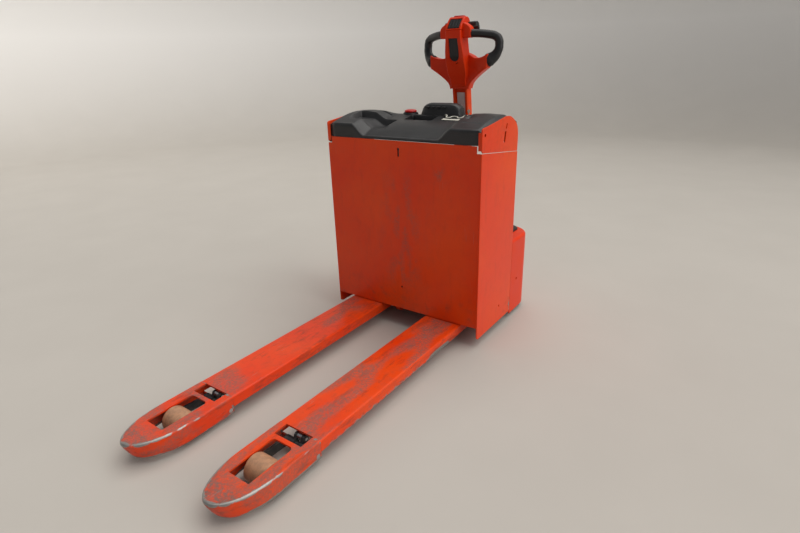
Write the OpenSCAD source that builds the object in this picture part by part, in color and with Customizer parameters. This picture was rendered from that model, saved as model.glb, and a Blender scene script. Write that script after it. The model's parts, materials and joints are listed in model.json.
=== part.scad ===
// Electric pallet truck: pedestrian-controlled, forks forward along -Y, tiller at the rear.
// Measures inside the modules count from the face of the battery box that carries the forks
// (y = 0) and from the floor (z = 0); truck() moves them to the middle of the whole machine.

/* [Forks] */
// Length of the forks in front of the battery box
fork_len = 1150; // [900:10:1400]
// Width over both forks
fork_span = 560; // [520:5:620]
// Width of one fork
fork_w = 168; // [160:1:180]
// Height of the fork tops with the forks down
fork_top = 85; // [83:1:95]
// Sheet thickness of the forks
fork_wall = 6; // [4:0.5:8]
// Height of the lower edge of the straight fork legs
shank_bottom = 46; // [40:1:50]
// Height of the lower edge of the fork noses
nose_bottom = 22; // [18:1:28]
// Length of a fork nose, from the tip to its weld
nose_len = 328; // [310:1:400]
// Length over which a nose rounds to its tip
nose_round = 170; // [140:5:200]
// How far the forks rise
lift = 125; // [90:5:130]

/* [Load wheels] */
// Diameter of a load roller
roller_d = 85; // [80:1:85]
// Width of a load roller
roller_w = 78; // [60:1:80]
// Length of a load arm, pivot to roller
arm_len = 132; // [125:1:138]
// Distance from the fork tip back to the load arm pivot
pivot_back = 316; // [312:1:320]
// Height of the load arm pivot
pivot_z = 36; // [33:1:38]
// Diameter of a load arm pivot pin
pivot_d = 16; // [14:1:18]
// Diameter of a roller axle
axle_d = 20; // [16:1:25]
// Radius of the levers that the push rods act on
lever_r = 28; // [24:1:29]

/* [Battery box] */
// Overall width of the battery box and its hood
body_w = 720; // [690:5:760]
// Depth of the side plates
body_depth = 316; // [310:1:340]
// Thickness of the side plates and hood sides
sheet_t = 5; // [4:0.5:6]
// Height of the top of the front panel
panel_top = 808; // [790:1:830]
// Height of the lower edge of the front panel
panel_bottom = 90; // [88:1:95]
// Height of the lower edge of the side plates
side_bottom = 38; // [30:1:60]
// Width of the battery
battery_w = 624; // [600:1:630]
// Depth of the battery
battery_d = 212; // [200:1:213]
// Height of the battery
battery_h = 628; // [590:1:630]

/* [Hood] */
// Fall of the seam between hood and side plates, front to rear
seam_fall = 35; // [20:1:40]
// Rise of the hood sides above the front panel
crest_rise = 84; // [72:1:92]
// Width of the operating console
console_w = 190; // [160:5:210]
// Rise of the operating console above the front panel
console_rise = 120; // [112:1:132]

/* [Drive unit] */
// Diameter of the drive wheel
wheel_d = 230; // [200:2:232]
// Width of the drive wheel
wheel_w = 90; // [70:1:92]
// Distance from the fork face to the steering axis
steer_y = 415; // [412:1:420]
// Distance from the fork face to the rear of the drive cover
cover_rear = 548; // [546:1:580]
// Height of the top of the drive cover
cover_top = 364; // [355:1:380]
// Height of the lower edge of the drive cover
cover_bottom = 18; // [15:1:40]
// Diameter of a castor wheel
castor_d = 100; // [90:1:104]
// Radius of the drive motor
motor_r = 64; // [55:1:65]

/* [Tiller] */
// Height of the tiller pivot
tiller_z = 440; // [430:1:450]
// Height of the neck, where the tiller arm meets the head
neck_z = 1015; // [950:5:1080]
// Width of the tiller arm
arm_w = 74; // [66:1:75]
// Depth of the tiller arm
arm_d = 45; // [38:1:46]
// Half width of the head over the grips
grip_x = 192; // [186:1:200]
// Thickness of the grips
grip_d = 34; // [28:1:36]
// How far the control pod reaches forward of the grips
pod_reach = 80; // [60:1:90]

/* [Fits] */
// Radial clearance of pins and shafts that turn
run_fit = 0.05; // [0.02:0.01:0.1]
// Clearance between solids on different bodies
gap = 0.5; // [0.3:0.1:1]

/* [Hidden] */
$fn = 64;

panel_t = 4;
wall_in = body_w / 2 - sheet_t;
fork_x = (fork_span - fork_w) / 2;
seam_y = nose_len - fork_len;
pivot_y = pivot_back - fork_len;
roller_r = roller_d / 2;
roller_y = pivot_y - sqrt(arm_len * arm_len - pow(roller_r - pivot_z, 2));
window_w = roller_w + 4;
base_z = fork_top + 5;
base_t = 8;
battery_y = 12;
bulkhead_y = battery_y + battery_d + 4;
bulkhead_t = 6;
rail_y = bulkhead_y + bulkhead_t + 8;
tower_y = rail_y + 34;
tower_t = 8;
tower_top = 640;
shoe_z = [300, 430];
shoe_w = 22;
rail_x = 222;
cylinder_y = rail_y + 17;
rod_r = 14;
rod_foot = 300;
barrel_r = 17;
barrel_h = 240;
bracket_z = 520;
seam_front = panel_top - 26;
arm_bow = 104;

// Levers lean back by half the angle that the load arms sweep
arm_sweep = asin((pivot_z + lift - roller_r) / arm_len) + asin((roller_r - pivot_z) / arm_len);
lever_lean = arm_sweep / 2;
lever_dy = lever_r * sin(lever_lean);
lever_dz = lever_r * cos(lever_lean);
rocker_y = 110;
rocker_r = 10;
rod_pin_r = 5;

hinge_y = 11;
hinge_z = panel_top - 15;
hinge_pin_r = 3;
hinge_x = 220;
crest_z = panel_top + crest_rise;
console_top = panel_top + console_rise;

plate_z = wheel_d + 20;
plate_t = 12;
ring_r = 95;
wheel_r = wheel_d / 2;
shaft_r = 24;
tyre_t = 32;
tyre_round = 6;
cover_w = body_w - 6;
cover_front = body_depth + 8;
cover_round = 100;
castor_x = 262;
castor_y = steer_y + 15;
castor_trail = 28;
castor_top = castor_d + 32;

pivot_tiller_y = steer_y + 87;
head_y = pivot_tiller_y;
pin_r = 8;
truck_rear = pivot_tiller_y + arm_bow / 4 + arm_d / 2;
mid_y = (truck_rear - fork_len) / 2;
pod_w = 74;
pod_back = -8;
shoulder_x = 73;
joint_x = 141.5;
rocker_w = 32;
rocker_z = 160;
rocker_pin_y = pod_back - 5;
rocker_pin_r = 2.5;

red = [0.80, 0.17, 0.06];
black = [0.12, 0.12, 0.13];
steel = [0.62, 0.63, 0.65];
dark = [0.22, 0.23, 0.25];

// ---------- shared shapes ----------
module truck() { translate([0, -mid_y, 0]) children(); }

module at_x(list) { for (x = list) translate([x, 0, 0]) children(); }

// A bar along X: from x0 to x1, centred on y, z
module rod_x(r, x0, x1, y, z) { translate([x0, y, z]) rotate([0, 90, 0]) cylinder(r = r, h = x1 - x0); }

module block(x0, x1, y0, y1, z0, z1) { translate([x0, y0, z0]) cube([x1 - x0, y1 - y0, z1 - z0]); }

// A side view drawn in y and z, given its thickness along X
module side_view(x0, x1) {
    translate([x0, 0, 0]) rotate([90, 0, 90]) linear_extrude(x1 - x0) children();
}

// A front view drawn in x and z, given its thickness along Y
module front_view(y0, y1) {
    translate([0, y1, 0]) rotate([90, 0, 0]) linear_extrude(y1 - y0) children();
}

// A rectangle whose upper corners are rounded
module top_rounded(w, z0, z1, r) {
    translate([-w / 2, z0]) square([w, z1 - z0 - r]);
    translate([-w / 2 + r, z1 - r - 1]) square([w - 2 * r, r + 1]);
    for (s = [-1, 1]) translate([s * (w / 2 - r), z1 - r]) circle(r);
}

// A plan view whose rear corners are rounded
module rear_rounded(w, y0, y1, r) {
    translate([-w / 2, y0]) square([w, y1 - y0 - r]);
    translate([-w / 2 + r, y1 - r - 1]) square([w - 2 * r, r + 1]);
    for (s = [-1, 1]) translate([s * (w / 2 - r), y1 - r]) circle(r);
}

// ---------- forks and battery box ----------
module fork_section() {
    difference() {
        top_rounded(fork_w, shank_bottom, fork_top, 8);
        translate([-fork_w / 2 + fork_wall, shank_bottom - 1])
            square([fork_w - 2 * fork_wall, fork_top - fork_wall - shank_bottom + 1]);
    }
}

module fork(side) {
    color(red) truck() translate([side * fork_x, 0, 0])
        front_view(seam_y, -gap) fork_section();
}

// Outline of a nose: straight sides, then half an ellipse to the tip
function nose_outline(hw, reach, round_len) = concat(
    [[-hw, seam_y], [hw, seam_y]],
    [for (a = [0 : 7.5 : 180]) [hw * cos(a), -(reach - round_len) - round_len * sin(a)]]
);

module nose_body(inset, z0, z1) {
    hull() {
        translate([0, 0, z1 - 1]) linear_extrude(1)
            polygon(nose_outline(fork_w / 2 - inset - 3, fork_len - inset - 3, nose_round - 3));
        translate([0, 0, z1 - 8]) linear_extrude(1)
            polygon(nose_outline(fork_w / 2 - inset, fork_len - inset, nose_round));
        translate([0, 0, z0]) linear_extrude(1)
            polygon(nose_outline(fork_w / 2 - inset - 3, fork_len - inset - 24, nose_round + 20));
    }
}

module fork_nose(side) {
    color(red) truck() translate([side * fork_x, 0, 0]) difference() {
        nose_body(0, nose_bottom, fork_top);
        difference() {
            nose_body(fork_wall, nose_bottom - 1, fork_top - fork_wall);
            block(-fork_w, fork_w, seam_y - fork_wall, seam_y + 1, 0, shank_bottom);
        }
        // Roller window, with rounded rear corners, and the small window over the pivot
        block(-window_w / 2, window_w / 2, roller_y - 82, roller_y + 64, nose_bottom, fork_top + 1);
        block(-window_w / 2 + 14, window_w / 2 - 14, roller_y, roller_y + 78, nose_bottom, fork_top + 1);
        for (s = [-1, 1]) translate([s * (window_w / 2 - 14), roller_y + 64, nose_bottom])
            cylinder(r = 14, h = fork_top);
        block(-55, 55, pivot_y - 38, seam_y + 1, nose_bottom, fork_top + 1);
        rod_x(pivot_d / 2 + run_fit, -fork_w, fork_w, pivot_y, pivot_z);
    }
}

module arm_pivot_pins() {
    color(steel) truck() at_x([-fork_x, fork_x])
        rod_x(pivot_d / 2, -fork_w / 2 + 2, fork_w / 2 - 2, pivot_y, pivot_z);
}

module rocker_bearing(x) {
    difference() {
        union() {
            block(x - 12, x + 12, rocker_y - 22, rocker_y + 22, pivot_z, base_z + 1);
            rod_x(20, x - 12, x + 12, rocker_y, pivot_z);
        }
        rod_x(rocker_r + run_fit, x - 20, x + 20, rocker_y, pivot_z);
    }
}

module heel_frame() {
    color(red) truck() {
        // Floor of the battery box, and the forks running on below it
        block(-wall_in, wall_in, panel_t + 2, bulkhead_y + bulkhead_t, base_z, base_z + base_t);
        at_x([-fork_x, fork_x]) {
            front_view(0, bulkhead_y - 28) fork_section();
            block(-fork_w / 2 + 8, fork_w / 2 - 8, panel_t + 2, bulkhead_y - 28, fork_top - 1, base_z + 1);
        }
        for (x = [-90, 90]) rocker_bearing(x);
    }
}

module keyhole() {
    translate([0, panel_top - 32]) circle(6);
    translate([-4, panel_top - 60]) square([8, 28]);
}

module front_panel() {
    color(red) truck() difference() {
        front_view(0, panel_t) difference() {
            union() {
                translate([-wall_in, panel_bottom]) square([2 * wall_in, seam_front - panel_bottom - gap]);
                translate([-wall_in + 16, seam_front - 1]) square([2 * wall_in - 32, panel_top - seam_front + 1]);
            }
            keyhole();
            translate([0, 193]) circle(4.5);
        }
        // Upper edge rounded about the hood hinge, so that the hood swings past it
        difference() {
            block(-wall_in, wall_in, -1, panel_t + 1, hinge_z, panel_top + 1);
            rod_x(15.8, -body_w, body_w, hinge_y, hinge_z);
        }
    }
}

module side_plate(side) {
    color(red) truck() mirror([side < 0 ? 1 : 0, 0, 0]) side_view(wall_in, body_w / 2) difference() {
        polygon([[0, side_bottom + 10], [12, side_bottom], [body_depth, side_bottom],
                 [body_depth, seam_front - seam_fall], [0, seam_front - gap]]);
        translate([203, 110]) circle(5);
    }
}

module bulkhead() {
    color(red) truck() {
        block(-wall_in, wall_in, bulkhead_y, bulkhead_y + bulkhead_t, base_z + base_t, seam_front - 50);
        // Bracket that the lift rod pushes against
        block(-45, 45, bulkhead_y + bulkhead_t, tower_y - 2, bracket_z, bracket_z + 20);
        for (x = [-41, 35]) side_view(x, x + 6)
            polygon([[bulkhead_y + bulkhead_t, bracket_z + 20], [tower_y - 8, bracket_z + 20],
                     [bulkhead_y + bulkhead_t, bracket_z + 80]]);
    }
}

module guide_shoes() {
    color([0.85, 0.85, 0.80]) truck() for (x = [-rail_x, rail_x], z = shoe_z)
        block(x - shoe_w / 2, x + shoe_w / 2, bulkhead_y + bulkhead_t, tower_y - 2, z, z + 60);
}

module battery() {
    color(dark) truck() difference() {
        block(-battery_w / 2, battery_w / 2, battery_y, battery_y + battery_d,
              base_z + base_t, base_z + base_t + battery_h);
        // Cell caps show as a recessed top between the edges of the steel case
        block(-battery_w / 2 + 5, battery_w / 2 - 5, battery_y + 5, battery_y + battery_d - 5,
              base_z + base_t + battery_h - 18, base_z + base_t + battery_h + 1);
    }
}

module battery_connector() {
    color([0.55, 0.10, 0.10]) truck() translate([0, 0, base_z + base_t + battery_h - 18]) {
        block(-300, -220, 70, 118, 0, 44);
        block(-290, -230, 40, 70, 6, 38);
    }
}

module lift_rod() {
    color(steel) truck() translate([0, cylinder_y, rod_foot]) cylinder(r = rod_r, h = bracket_z - rod_foot);
}

module hood_hinges() {
    color(steel) truck() at_x([-hinge_x, hinge_x]) {
        rod_x(hinge_pin_r, -32, 32, hinge_y, hinge_z);
        for (x = [-31, 23]) difference() {
            block(x, x + 8, panel_t, hinge_y + 5, hinge_z - 12, hinge_z + 5);
            rod_x(hinge_pin_r, x - 1, x + 9, hinge_y, hinge_z);
        }
    }
}

// ---------- hood ----------
function side_profile() = concat(
    [[0, seam_front + 9], [9, seam_front + 0.5], [body_depth - 3, seam_front - seam_fall + 2],
     [body_depth - 2, panel_top - 25], [body_depth - 7, panel_top]],
    [for (t = [0 : 0.1 : 1]) [290 - 222 * t, crest_z - 62 * pow(1 - t, 2.3) - 3 * t]],
    [[39, crest_z - 10], [16, crest_z - 13], [4, crest_z - 18], [0, crest_z - 26]]
);

module hood_side(side) {
    color(red) truck() mirror([side < 0 ? 1 : 0, 0, 0]) difference() {
        union() {
            side_view(wall_in, body_w / 2) polygon(side_profile());
            block(wall_in - 16 + gap, wall_in + 1, 0, panel_t, seam_front + 9, crest_z - 26);
        }
        rod_x(5, wall_in - 20, body_w, 24, crest_z - 46);
        side_view(wall_in - 20, body_w) hull() {
            translate([195, crest_z - 56]) circle(5);
            translate([187, crest_z - 86]) circle(5);
        }
    }
}

shell_x = wall_in - gap;
hood_rear = body_depth - 8;
function tray_z(y) = panel_top + 68 * (1 - pow(1 - min(y, 205) / 205, 1.8)) - 10 * pow(max(y - 205, 0) / 105, 2);

// Centre section of the hood, front to rear, with its underside
function tray_profile() = concat(
    [for (y = [0 : 15 : 300]) [y, tray_z(y) + 6]],
    [[hood_rear, panel_top + 54], [hood_rear, panel_top - 26], [hood_rear - 5, panel_top - 26],
     [hood_rear - 5, panel_top + 42]],
    [for (y = [300 : -30 : 30]) [y, tray_z(y)]],
    [[0, panel_top + 0.5]]
);

function shoulder_profile() = concat(
    [[0, panel_top + 0.5], [0, panel_top + 56]],
    [for (t = [0 : 0.125 : 1]) [15 + 180 * t, panel_top + 60 + 30 * sin(90 * t)]],
    [for (p = [[250, 80], [290, 66], [308, 42], [308, -26], [303, -26], [303, 38], [280, 58], [200, 82],
               [100, 70], [8, 50]]) [p[0], panel_top + p[1]]],
    [[6, panel_top + 0.5]]
);

recess_x = -20;
clip_x = 130;
clip_y = 222;
clip_r = 3;
clip_z = tray_z(clip_y) + 6 + clip_r + 0.4;
stop_x = -112;
stop_y = 262;
key_x = 155;
key_y = 285;
key_z = tray_z(key_y - 7) + 6 + gap;

module clip_lug(x) {
    difference() {
        block(x - 3, x + 3, clip_y - 5, clip_y + 5, clip_z - 10, clip_z + 6);
        rod_x(clip_r + run_fit, x - 4, x + 4, clip_y, clip_z);
    }
}

module hood_knuckle(x) {
    difference() {
        // Gooseneck: back from the pin first, then up, so that it swings over the panel's edge
        union() {
            block(x - 20, x + 20, hinge_y - 4.5, hinge_y + 22, hinge_z - 4.5, hinge_z + 5);
            block(x - 20, x + 20, hinge_y + 17, hinge_y + 22, hinge_z - 5, panel_top + 58);
        }
        rod_x(hinge_pin_r + run_fit, x - 21, x + 21, hinge_y, hinge_z);
    }
}

module hood_shell() {
    color(black) truck() {
        difference() {
            union() {
                side_view(-192, 192) polygon(tray_profile());
                for (s = [-1, 1]) mirror([s < 0 ? 1 : 0, 0, 0]) {
                    side_view(186, wall_in - 16) polygon(shoulder_profile());
                    side_view(wall_in - 17, shell_x) polygon([for (p = shoulder_profile())
                        [max(p[0], panel_t + 2), max(p[1] - 8, panel_top + gap)]]);
                    // Inner cheek that closes the step from shoulder to tray
                    side_view(186, 192) polygon(concat([for (y = [0 : 30 : 300]) [y, tray_z(y)]],
                        [[290, panel_top + 64], [195, panel_top + 88], [90, panel_top + 80], [0, panel_top + 50]]));
                }
            }
            // Hand recess in front of the console
            block(recess_x - 60, recess_x + 60, 172, 232, panel_top + 12, panel_top + 92);
            hinge_clear();
            translate([stop_x, stop_y, panel_top]) cylinder(r = 9 + gap, h = 100);
        }
        for (s = [-1, 1]) clip_lug(clip_x + s * 48);
        // Bowl of the hand recess
        difference() {
            block(recess_x - 65, recess_x + 65, 167, 237, panel_top + 24, panel_top + 68);
            block(recess_x - 60, recess_x + 60, 172, 232, panel_top + 29, panel_top + 92);
        }
        for (x = [-hinge_x, hinge_x]) hood_knuckle(x);
    }
}

module hinge_clear() {
    for (x = [-hinge_x, hinge_x], s = [-1, 1])
        block(x + s * 27 - 6, x + s * 27 + 6, -1, hinge_y + 9, hinge_z - 16, hinge_z + 9);
}

// Underside follows the crown of the hood
console_x = 40;
function console_profile() = concat(
    [[244, console_top - 8], [256, console_top], [296, console_top - 2], [303, console_top - 12]],
    [for (y = [303 : -11 : 237]) [y, tray_z(y) + 6.2]]
);

module console_housing() {
    color(black) truck() difference() {
        side_view(console_x - console_w / 2, console_x + console_w / 2) polygon(console_profile());
        // Pocket for the display, facing the operator
        block(console_x - 40, console_x + 50, 298, 310, console_top - 46, console_top - 14);
    }
}

module display() {
    color([0.08, 0.10, 0.12]) truck()
        block(console_x - 39.7, console_x + 49.7, 298, 301, console_top - 45.7, console_top - 14.3);
}

module emergency_stop() {
    color([0.75, 0.05, 0.05]) truck() translate([stop_x, stop_y, 0]) {
        translate([0, 0, panel_top + 80]) cylinder(r = 27, h = 12);
        translate([0, 0, panel_top + 52]) cylinder(r = 9, h = 28);
    }
}

module key() {
    color(steel) truck() translate([key_x, key_y, key_z]) {
        cylinder(r = 7, h = 4);
        block(-1.5, 1.5, -10, 10, 4, 26);
    }
}

module document_clip() {
    color(steel) truck() {
        rod_x(clip_r, clip_x - 52, clip_x + 52, clip_y, clip_z);
        difference() {
            block(clip_x - 44, clip_x + 44, clip_y - 42, clip_y, clip_z - clip_r + 0.1, clip_z - clip_r + 2);
            block(clip_x - 20, clip_x + 20, clip_y - 30, clip_y - 10, clip_z - 9, clip_z + 9);
        }
    }
}

// ---------- drive unit, fixed to the chassis ----------
module guide_rail(x) {
    difference() {
        block(x - 20, x + 20, rail_y, tower_y + 0.5, plate_z + plate_t, tower_top);
        block(x - shoe_w / 2 - gap, x + shoe_w / 2 + gap, rail_y - 1, tower_y - 1, plate_z, tower_top + 1);
    }
}

module drive_frame() {
    color(dark) truck() {
        difference() {
            union() {
                translate([0, 0, plate_z]) linear_extrude(plate_t)
                    rear_rounded(cover_w - 9, tower_y, cover_rear - 4.5, cover_round - 4.5);
                block(-300, 300, tower_y, tower_y + tower_t, plate_z, tower_top);
                for (s = [-1, 1]) block(s * castor_x - 30, s * castor_x + 30, castor_y - 30, castor_y + 30,
                                        castor_top + 8, plate_z + 1);
                for (x = [-rail_x, rail_x]) guide_rail(x);
                // Shelf under the lift cylinder
                block(-60, 60, rail_y, tower_y + 1, plate_z, plate_z + plate_t);
            }
            translate([0, steer_y, plate_z - 1]) cylinder(r = ring_r + 17, h = plate_t + 2);
            for (s = [-1, 1]) translate([s * castor_x, castor_y, castor_top]) cylinder(r = 10 + run_fit, h = 60);
            translate([0, steer_y, 0]) cylinder(r = 126, h = plate_z - 1);
        }
    }
}

module bearing_ring() {
    color(steel) truck() translate([0, steer_y, plate_z]) difference() {
        cylinder(r = ring_r + 17 - 0.1, h = plate_t);
        translate([0, 0, -1]) cylinder(r = ring_r + run_fit, h = plate_t + 2);
    }
}

module lift_barrel() {
    color(dark) truck() translate([0, cylinder_y, plate_z + plate_t]) difference() {
        cylinder(r = barrel_r, h = barrel_h);
        translate([0, 0, 20]) cylinder(r = rod_r + run_fit, h = barrel_h);
    }
}

module hydraulic_unit() {
    color(dark) truck() translate([190, 330, plate_z + plate_t]) {
        // Tank with the pump motor standing on its manifold
        block(-60, 60, -36, 30, 0, 96);
        translate([0, -3, 96]) cylinder(r = 32, h = 110);
        translate([44, -3, 96]) cylinder(r = 8, h = 14);
    }
}

module controller() {
    color(dark) truck() {
        block(-290, -150, tower_y + tower_t, tower_y + tower_t + 50, 320, 520);
        for (i = [0 : 5]) block(-284 + i * 23, -280 + i * 23, tower_y + tower_t + 50, tower_y + tower_t + 62, 326, 514);
    }
}

module drive_cover() {
    color(red) truck() difference() {
        union() {
            translate([0, 0, cover_bottom]) linear_extrude(cover_top - cover_bottom - 14)
                rear_rounded(cover_w, cover_front, cover_rear, cover_round);
            translate([0, 0, cover_bottom]) linear_extrude(cover_top - cover_bottom)
                rear_rounded(cover_w - 16, cover_front, cover_rear - 8, cover_round - 8);
        }
        translate([0, 0, cover_bottom - 1]) linear_extrude(cover_top - cover_bottom - 17)
            rear_rounded(cover_w - 8, cover_front - 1, cover_rear - 4, cover_round - 4);
        // Opening over the drive, and the room for the tower in front of it
        translate([0, steer_y, cover_top - 40]) cylinder(r = 124, h = 60);
        block(-312, 312, cover_front - 1, 372, cover_top - 40, cover_top + 1);
        rod_x(6, -body_w, body_w, 387, 170);
    }
}

module cover_caps() {
    color(black) truck() for (s = [-1, 1]) translate([s * 236, 470, cover_top]) {
        hull() {
            for (x = [-62, 62], y = [-34, 26]) translate([x, y, 0]) cylinder(r = 10, h = 1, $fn = 32);
            for (x = [-50, 50], y = [-26, 18]) translate([x, y, 15]) cylinder(r = 10, h = 1, $fn = 32);
        }
    }
}

module castor_fork(side) {
    color(steel) truck() translate([side * castor_x, castor_y, 0]) difference() {
        union() {
            translate([0, 0, castor_top]) cylinder(r = 10, h = 30);
            translate([0, 0, castor_top - 6]) cylinder(r = 28, h = 6);
            for (s = [-1, 1]) side_view(s * 22 - 2.5, s * 22 + 2.5)
                polygon([[-26, castor_top - 5], [22, castor_top - 5], [castor_trail + 14, castor_d / 2],
                         [castor_trail + 8, castor_d / 2 - 14], [castor_trail - 10, castor_d / 2 - 12]]);
            rod_x(7, -28, 28, castor_trail, castor_d / 2);
        }
    }
}

module castor_wheel(side) {
    color(dark) truck() translate([side * castor_x, castor_y + castor_trail, castor_d / 2]) {
        difference() {
            rod_x(castor_d / 2, -16, 16, 0, 0);
            rod_x(7 + run_fit, -17, 17, 0, 0);
            for (s = [-1, 1]) difference() {
                rod_x(34, s > 0 ? 10 : -17, s > 0 ? 17 : -10, 0, 0);
                rod_x(14, -18, 18, 0, 0);
            }
        }
    }
}

// ---------- drive unit, turning with the steering ----------
module turntable() {
    color(steel) truck() translate([0, steer_y, 0]) {
        translate([0, 0, plate_z]) cylinder(r = ring_r, h = plate_t);
        translate([0, 0, plate_z + plate_t + gap]) cylinder(r = ring_r + 10, h = 12 - gap);
        translate([0, 0, plate_z + 1]) cylinder(r = ring_r - 5, h = plate_t + 4);
    }
}

module gearbox() {
    color(dark) truck() translate([0, steer_y, 0]) {
        translate([0, 0, wheel_d + 4]) cylinder(r = ring_r - 7, h = plate_z - wheel_d - 4);
        block(-112, -wheel_w / 2 - 6, -40, 40, wheel_r, plate_z - 2);
        rod_x(48, -112, -wheel_w / 2 - 6, 0, wheel_r);
        rod_x(shaft_r, -wheel_w / 2 - 7, 5.5, 0, wheel_r);
    }
}

deck_z = plate_z + plate_t + 12;
module drive_motor() {
    color(dark) truck() translate([0, steer_y, deck_z]) {
        cylinder(r = motor_r, h = 150);
        // Magnetic brake and its cap on top of the motor
        translate([0, 0, 150]) cylinder(r = motor_r - 14, h = 28);
        translate([0, 0, 178]) cylinder(r = motor_r - 24, h = 6);
    }
}

module tiller_bracket() {
    color(dark) truck() difference() {
        union() {
            translate([0, steer_y, deck_z]) difference() {
                cylinder(r = 116, h = 10);
                translate([0, 0, -1]) cylinder(r = motor_r + 2, h = 12);
                block(-130, 130, -130, 0, -1, 11);
            }
            for (s = [-1, 1]) side_view(s * (arm_w / 2 + 5) - 4, s * (arm_w / 2 + 5) + 4)
                polygon([[pivot_tiller_y - 24, deck_z + 9], [pivot_tiller_y + 20, deck_z + 9],
                         [pivot_tiller_y + 20, tiller_z + 10], [pivot_tiller_y + 10, tiller_z + 20],
                         [pivot_tiller_y - 10, tiller_z + 20], [pivot_tiller_y - 20, tiller_z + 10]]);
        }
        rod_x(pin_r, -60, 60, pivot_tiller_y, tiller_z);
    }
}

module tiller_pin() {
    color(steel) truck() {
        rod_x(pin_r, -arm_w / 2 - 14, arm_w / 2 + 14, pivot_tiller_y, tiller_z);
        for (s = [-1, 1]) rod_x(pin_r + 4, s > 0 ? arm_w / 2 + 9.2 : -arm_w / 2 - 13.2,
                                s > 0 ? arm_w / 2 + 13.2 : -arm_w / 2 - 9.2, pivot_tiller_y, tiller_z);
    }
}

module wheel_hub() {
    color(steel) truck() difference() {
        rod_x(wheel_r - tyre_t, -wheel_w / 2 + 4, wheel_w / 2 - 4, steer_y, wheel_r);
        rod_x(wheel_r - 44, 6, wheel_w, steer_y, wheel_r);
        rod_x(40, -wheel_w, -14, steer_y, wheel_r);
        rod_x(shaft_r + run_fit, -wheel_w, wheel_w, steer_y, wheel_r);
    }
}

module wheel_bolts() {
    color(steel) truck() {
        for (i = [0 : 6]) translate([0, steer_y + 40 * sin(i * 360 / 7), wheel_r + 40 * cos(i * 360 / 7)])
            rod_x(9, 6, 18, 0, 0);
        rod_x(shaft_r + 4, 6, 22, steer_y, wheel_r);
    }
}

module drive_tyre() {
    color(black) truck() difference() {
        union() {
            rod_x(wheel_r, -wheel_w / 2 + tyre_round, wheel_w / 2 - tyre_round, steer_y, wheel_r);
            for (s = [-1, 1]) translate([s * (wheel_w / 2 - tyre_round), steer_y, wheel_r]) rotate([0, 90 * s, 0])
                cylinder(r1 = wheel_r, r2 = wheel_r - tyre_round, h = tyre_round);
        }
        rod_x(wheel_r - tyre_t, -wheel_w, wheel_w, steer_y, wheel_r);
    }
}

// ---------- tiller ----------
// The arm bows gently towards the operator between its pivot and the neck
function bow(z) = let (t = (z - tiller_z) / (neck_z - tiller_z)) pivot_tiller_y + arm_bow * t * (1 - t);

module arm_side(front, rear, z0, z1) {
    polygon(concat([for (i = [0 : 12]) let (z = z0 + (z1 - z0) * i / 12) [bow(z) - front, z]],
                   [for (i = [12 : -1 : 0]) let (z = z0 + (z1 - z0) * i / 12) [bow(z) + rear, z]]));
}

neck_drop = 44;
module tiller_arm() {
    color(red) truck() difference() {
        union() {
            side_view(-arm_w / 2, arm_w / 2) arm_side(arm_d / 2, arm_d / 2, tiller_z, neck_z - neck_drop);
            rod_x(arm_d / 2, -arm_w / 2, arm_w / 2, pivot_tiller_y, tiller_z);
        }
        rod_x(pin_r + run_fit, -arm_w, arm_w, pivot_tiller_y, tiller_z);
        // Front face is sunk between its two edges, the rear face less deeply
        side_view(-arm_w / 2 + 12, arm_w / 2 - 12) arm_side(arm_d, -arm_d / 2 + 14, tiller_z + 60, neck_z + 10);
        side_view(-arm_w / 2 + 10, arm_w / 2 - 10) arm_side(-arm_d / 2 + 4, arm_d, tiller_z + 60, neck_z - 80);
    }
}

module label_plate() {
    color([0.75, 0.75, 0.77]) truck() side_view(-20, 20)
        arm_side(arm_d / 2 - 11.2, 13.4 - arm_d / 2, neck_z - 190, neck_z - 60);
}

module head_local() { translate([0, head_y, neck_z]) children(); }

module head_frame() { truck() head_local() children(); }

function mirrored(half) = concat(half, [for (i = [len(half) - 1 : -1 : 0]) [-half[i][0], half[i][1]]]);

// Seen from above, the head sweeps forward from the grips to the pod; a band of it, d deep
module head_sweep(line, d) {
    translate([0, 0, -80]) linear_extrude(300)
        polygon(concat([for (p = line) [p[0], p[1] - d / 2]],
                       [for (i = [len(line) - 1 : -1 : 0]) [line[i][0], line[i][1] + d / 2]]));
}

module head_shell() {
    color(red) truck() difference() {
        head_local() head_body();
        // Flat seat on the end of the arm
        block(-60, 60, head_y - 90, head_y + 60, neck_z - 130, neck_z - neck_drop + gap / 2);
    }
}

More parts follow.
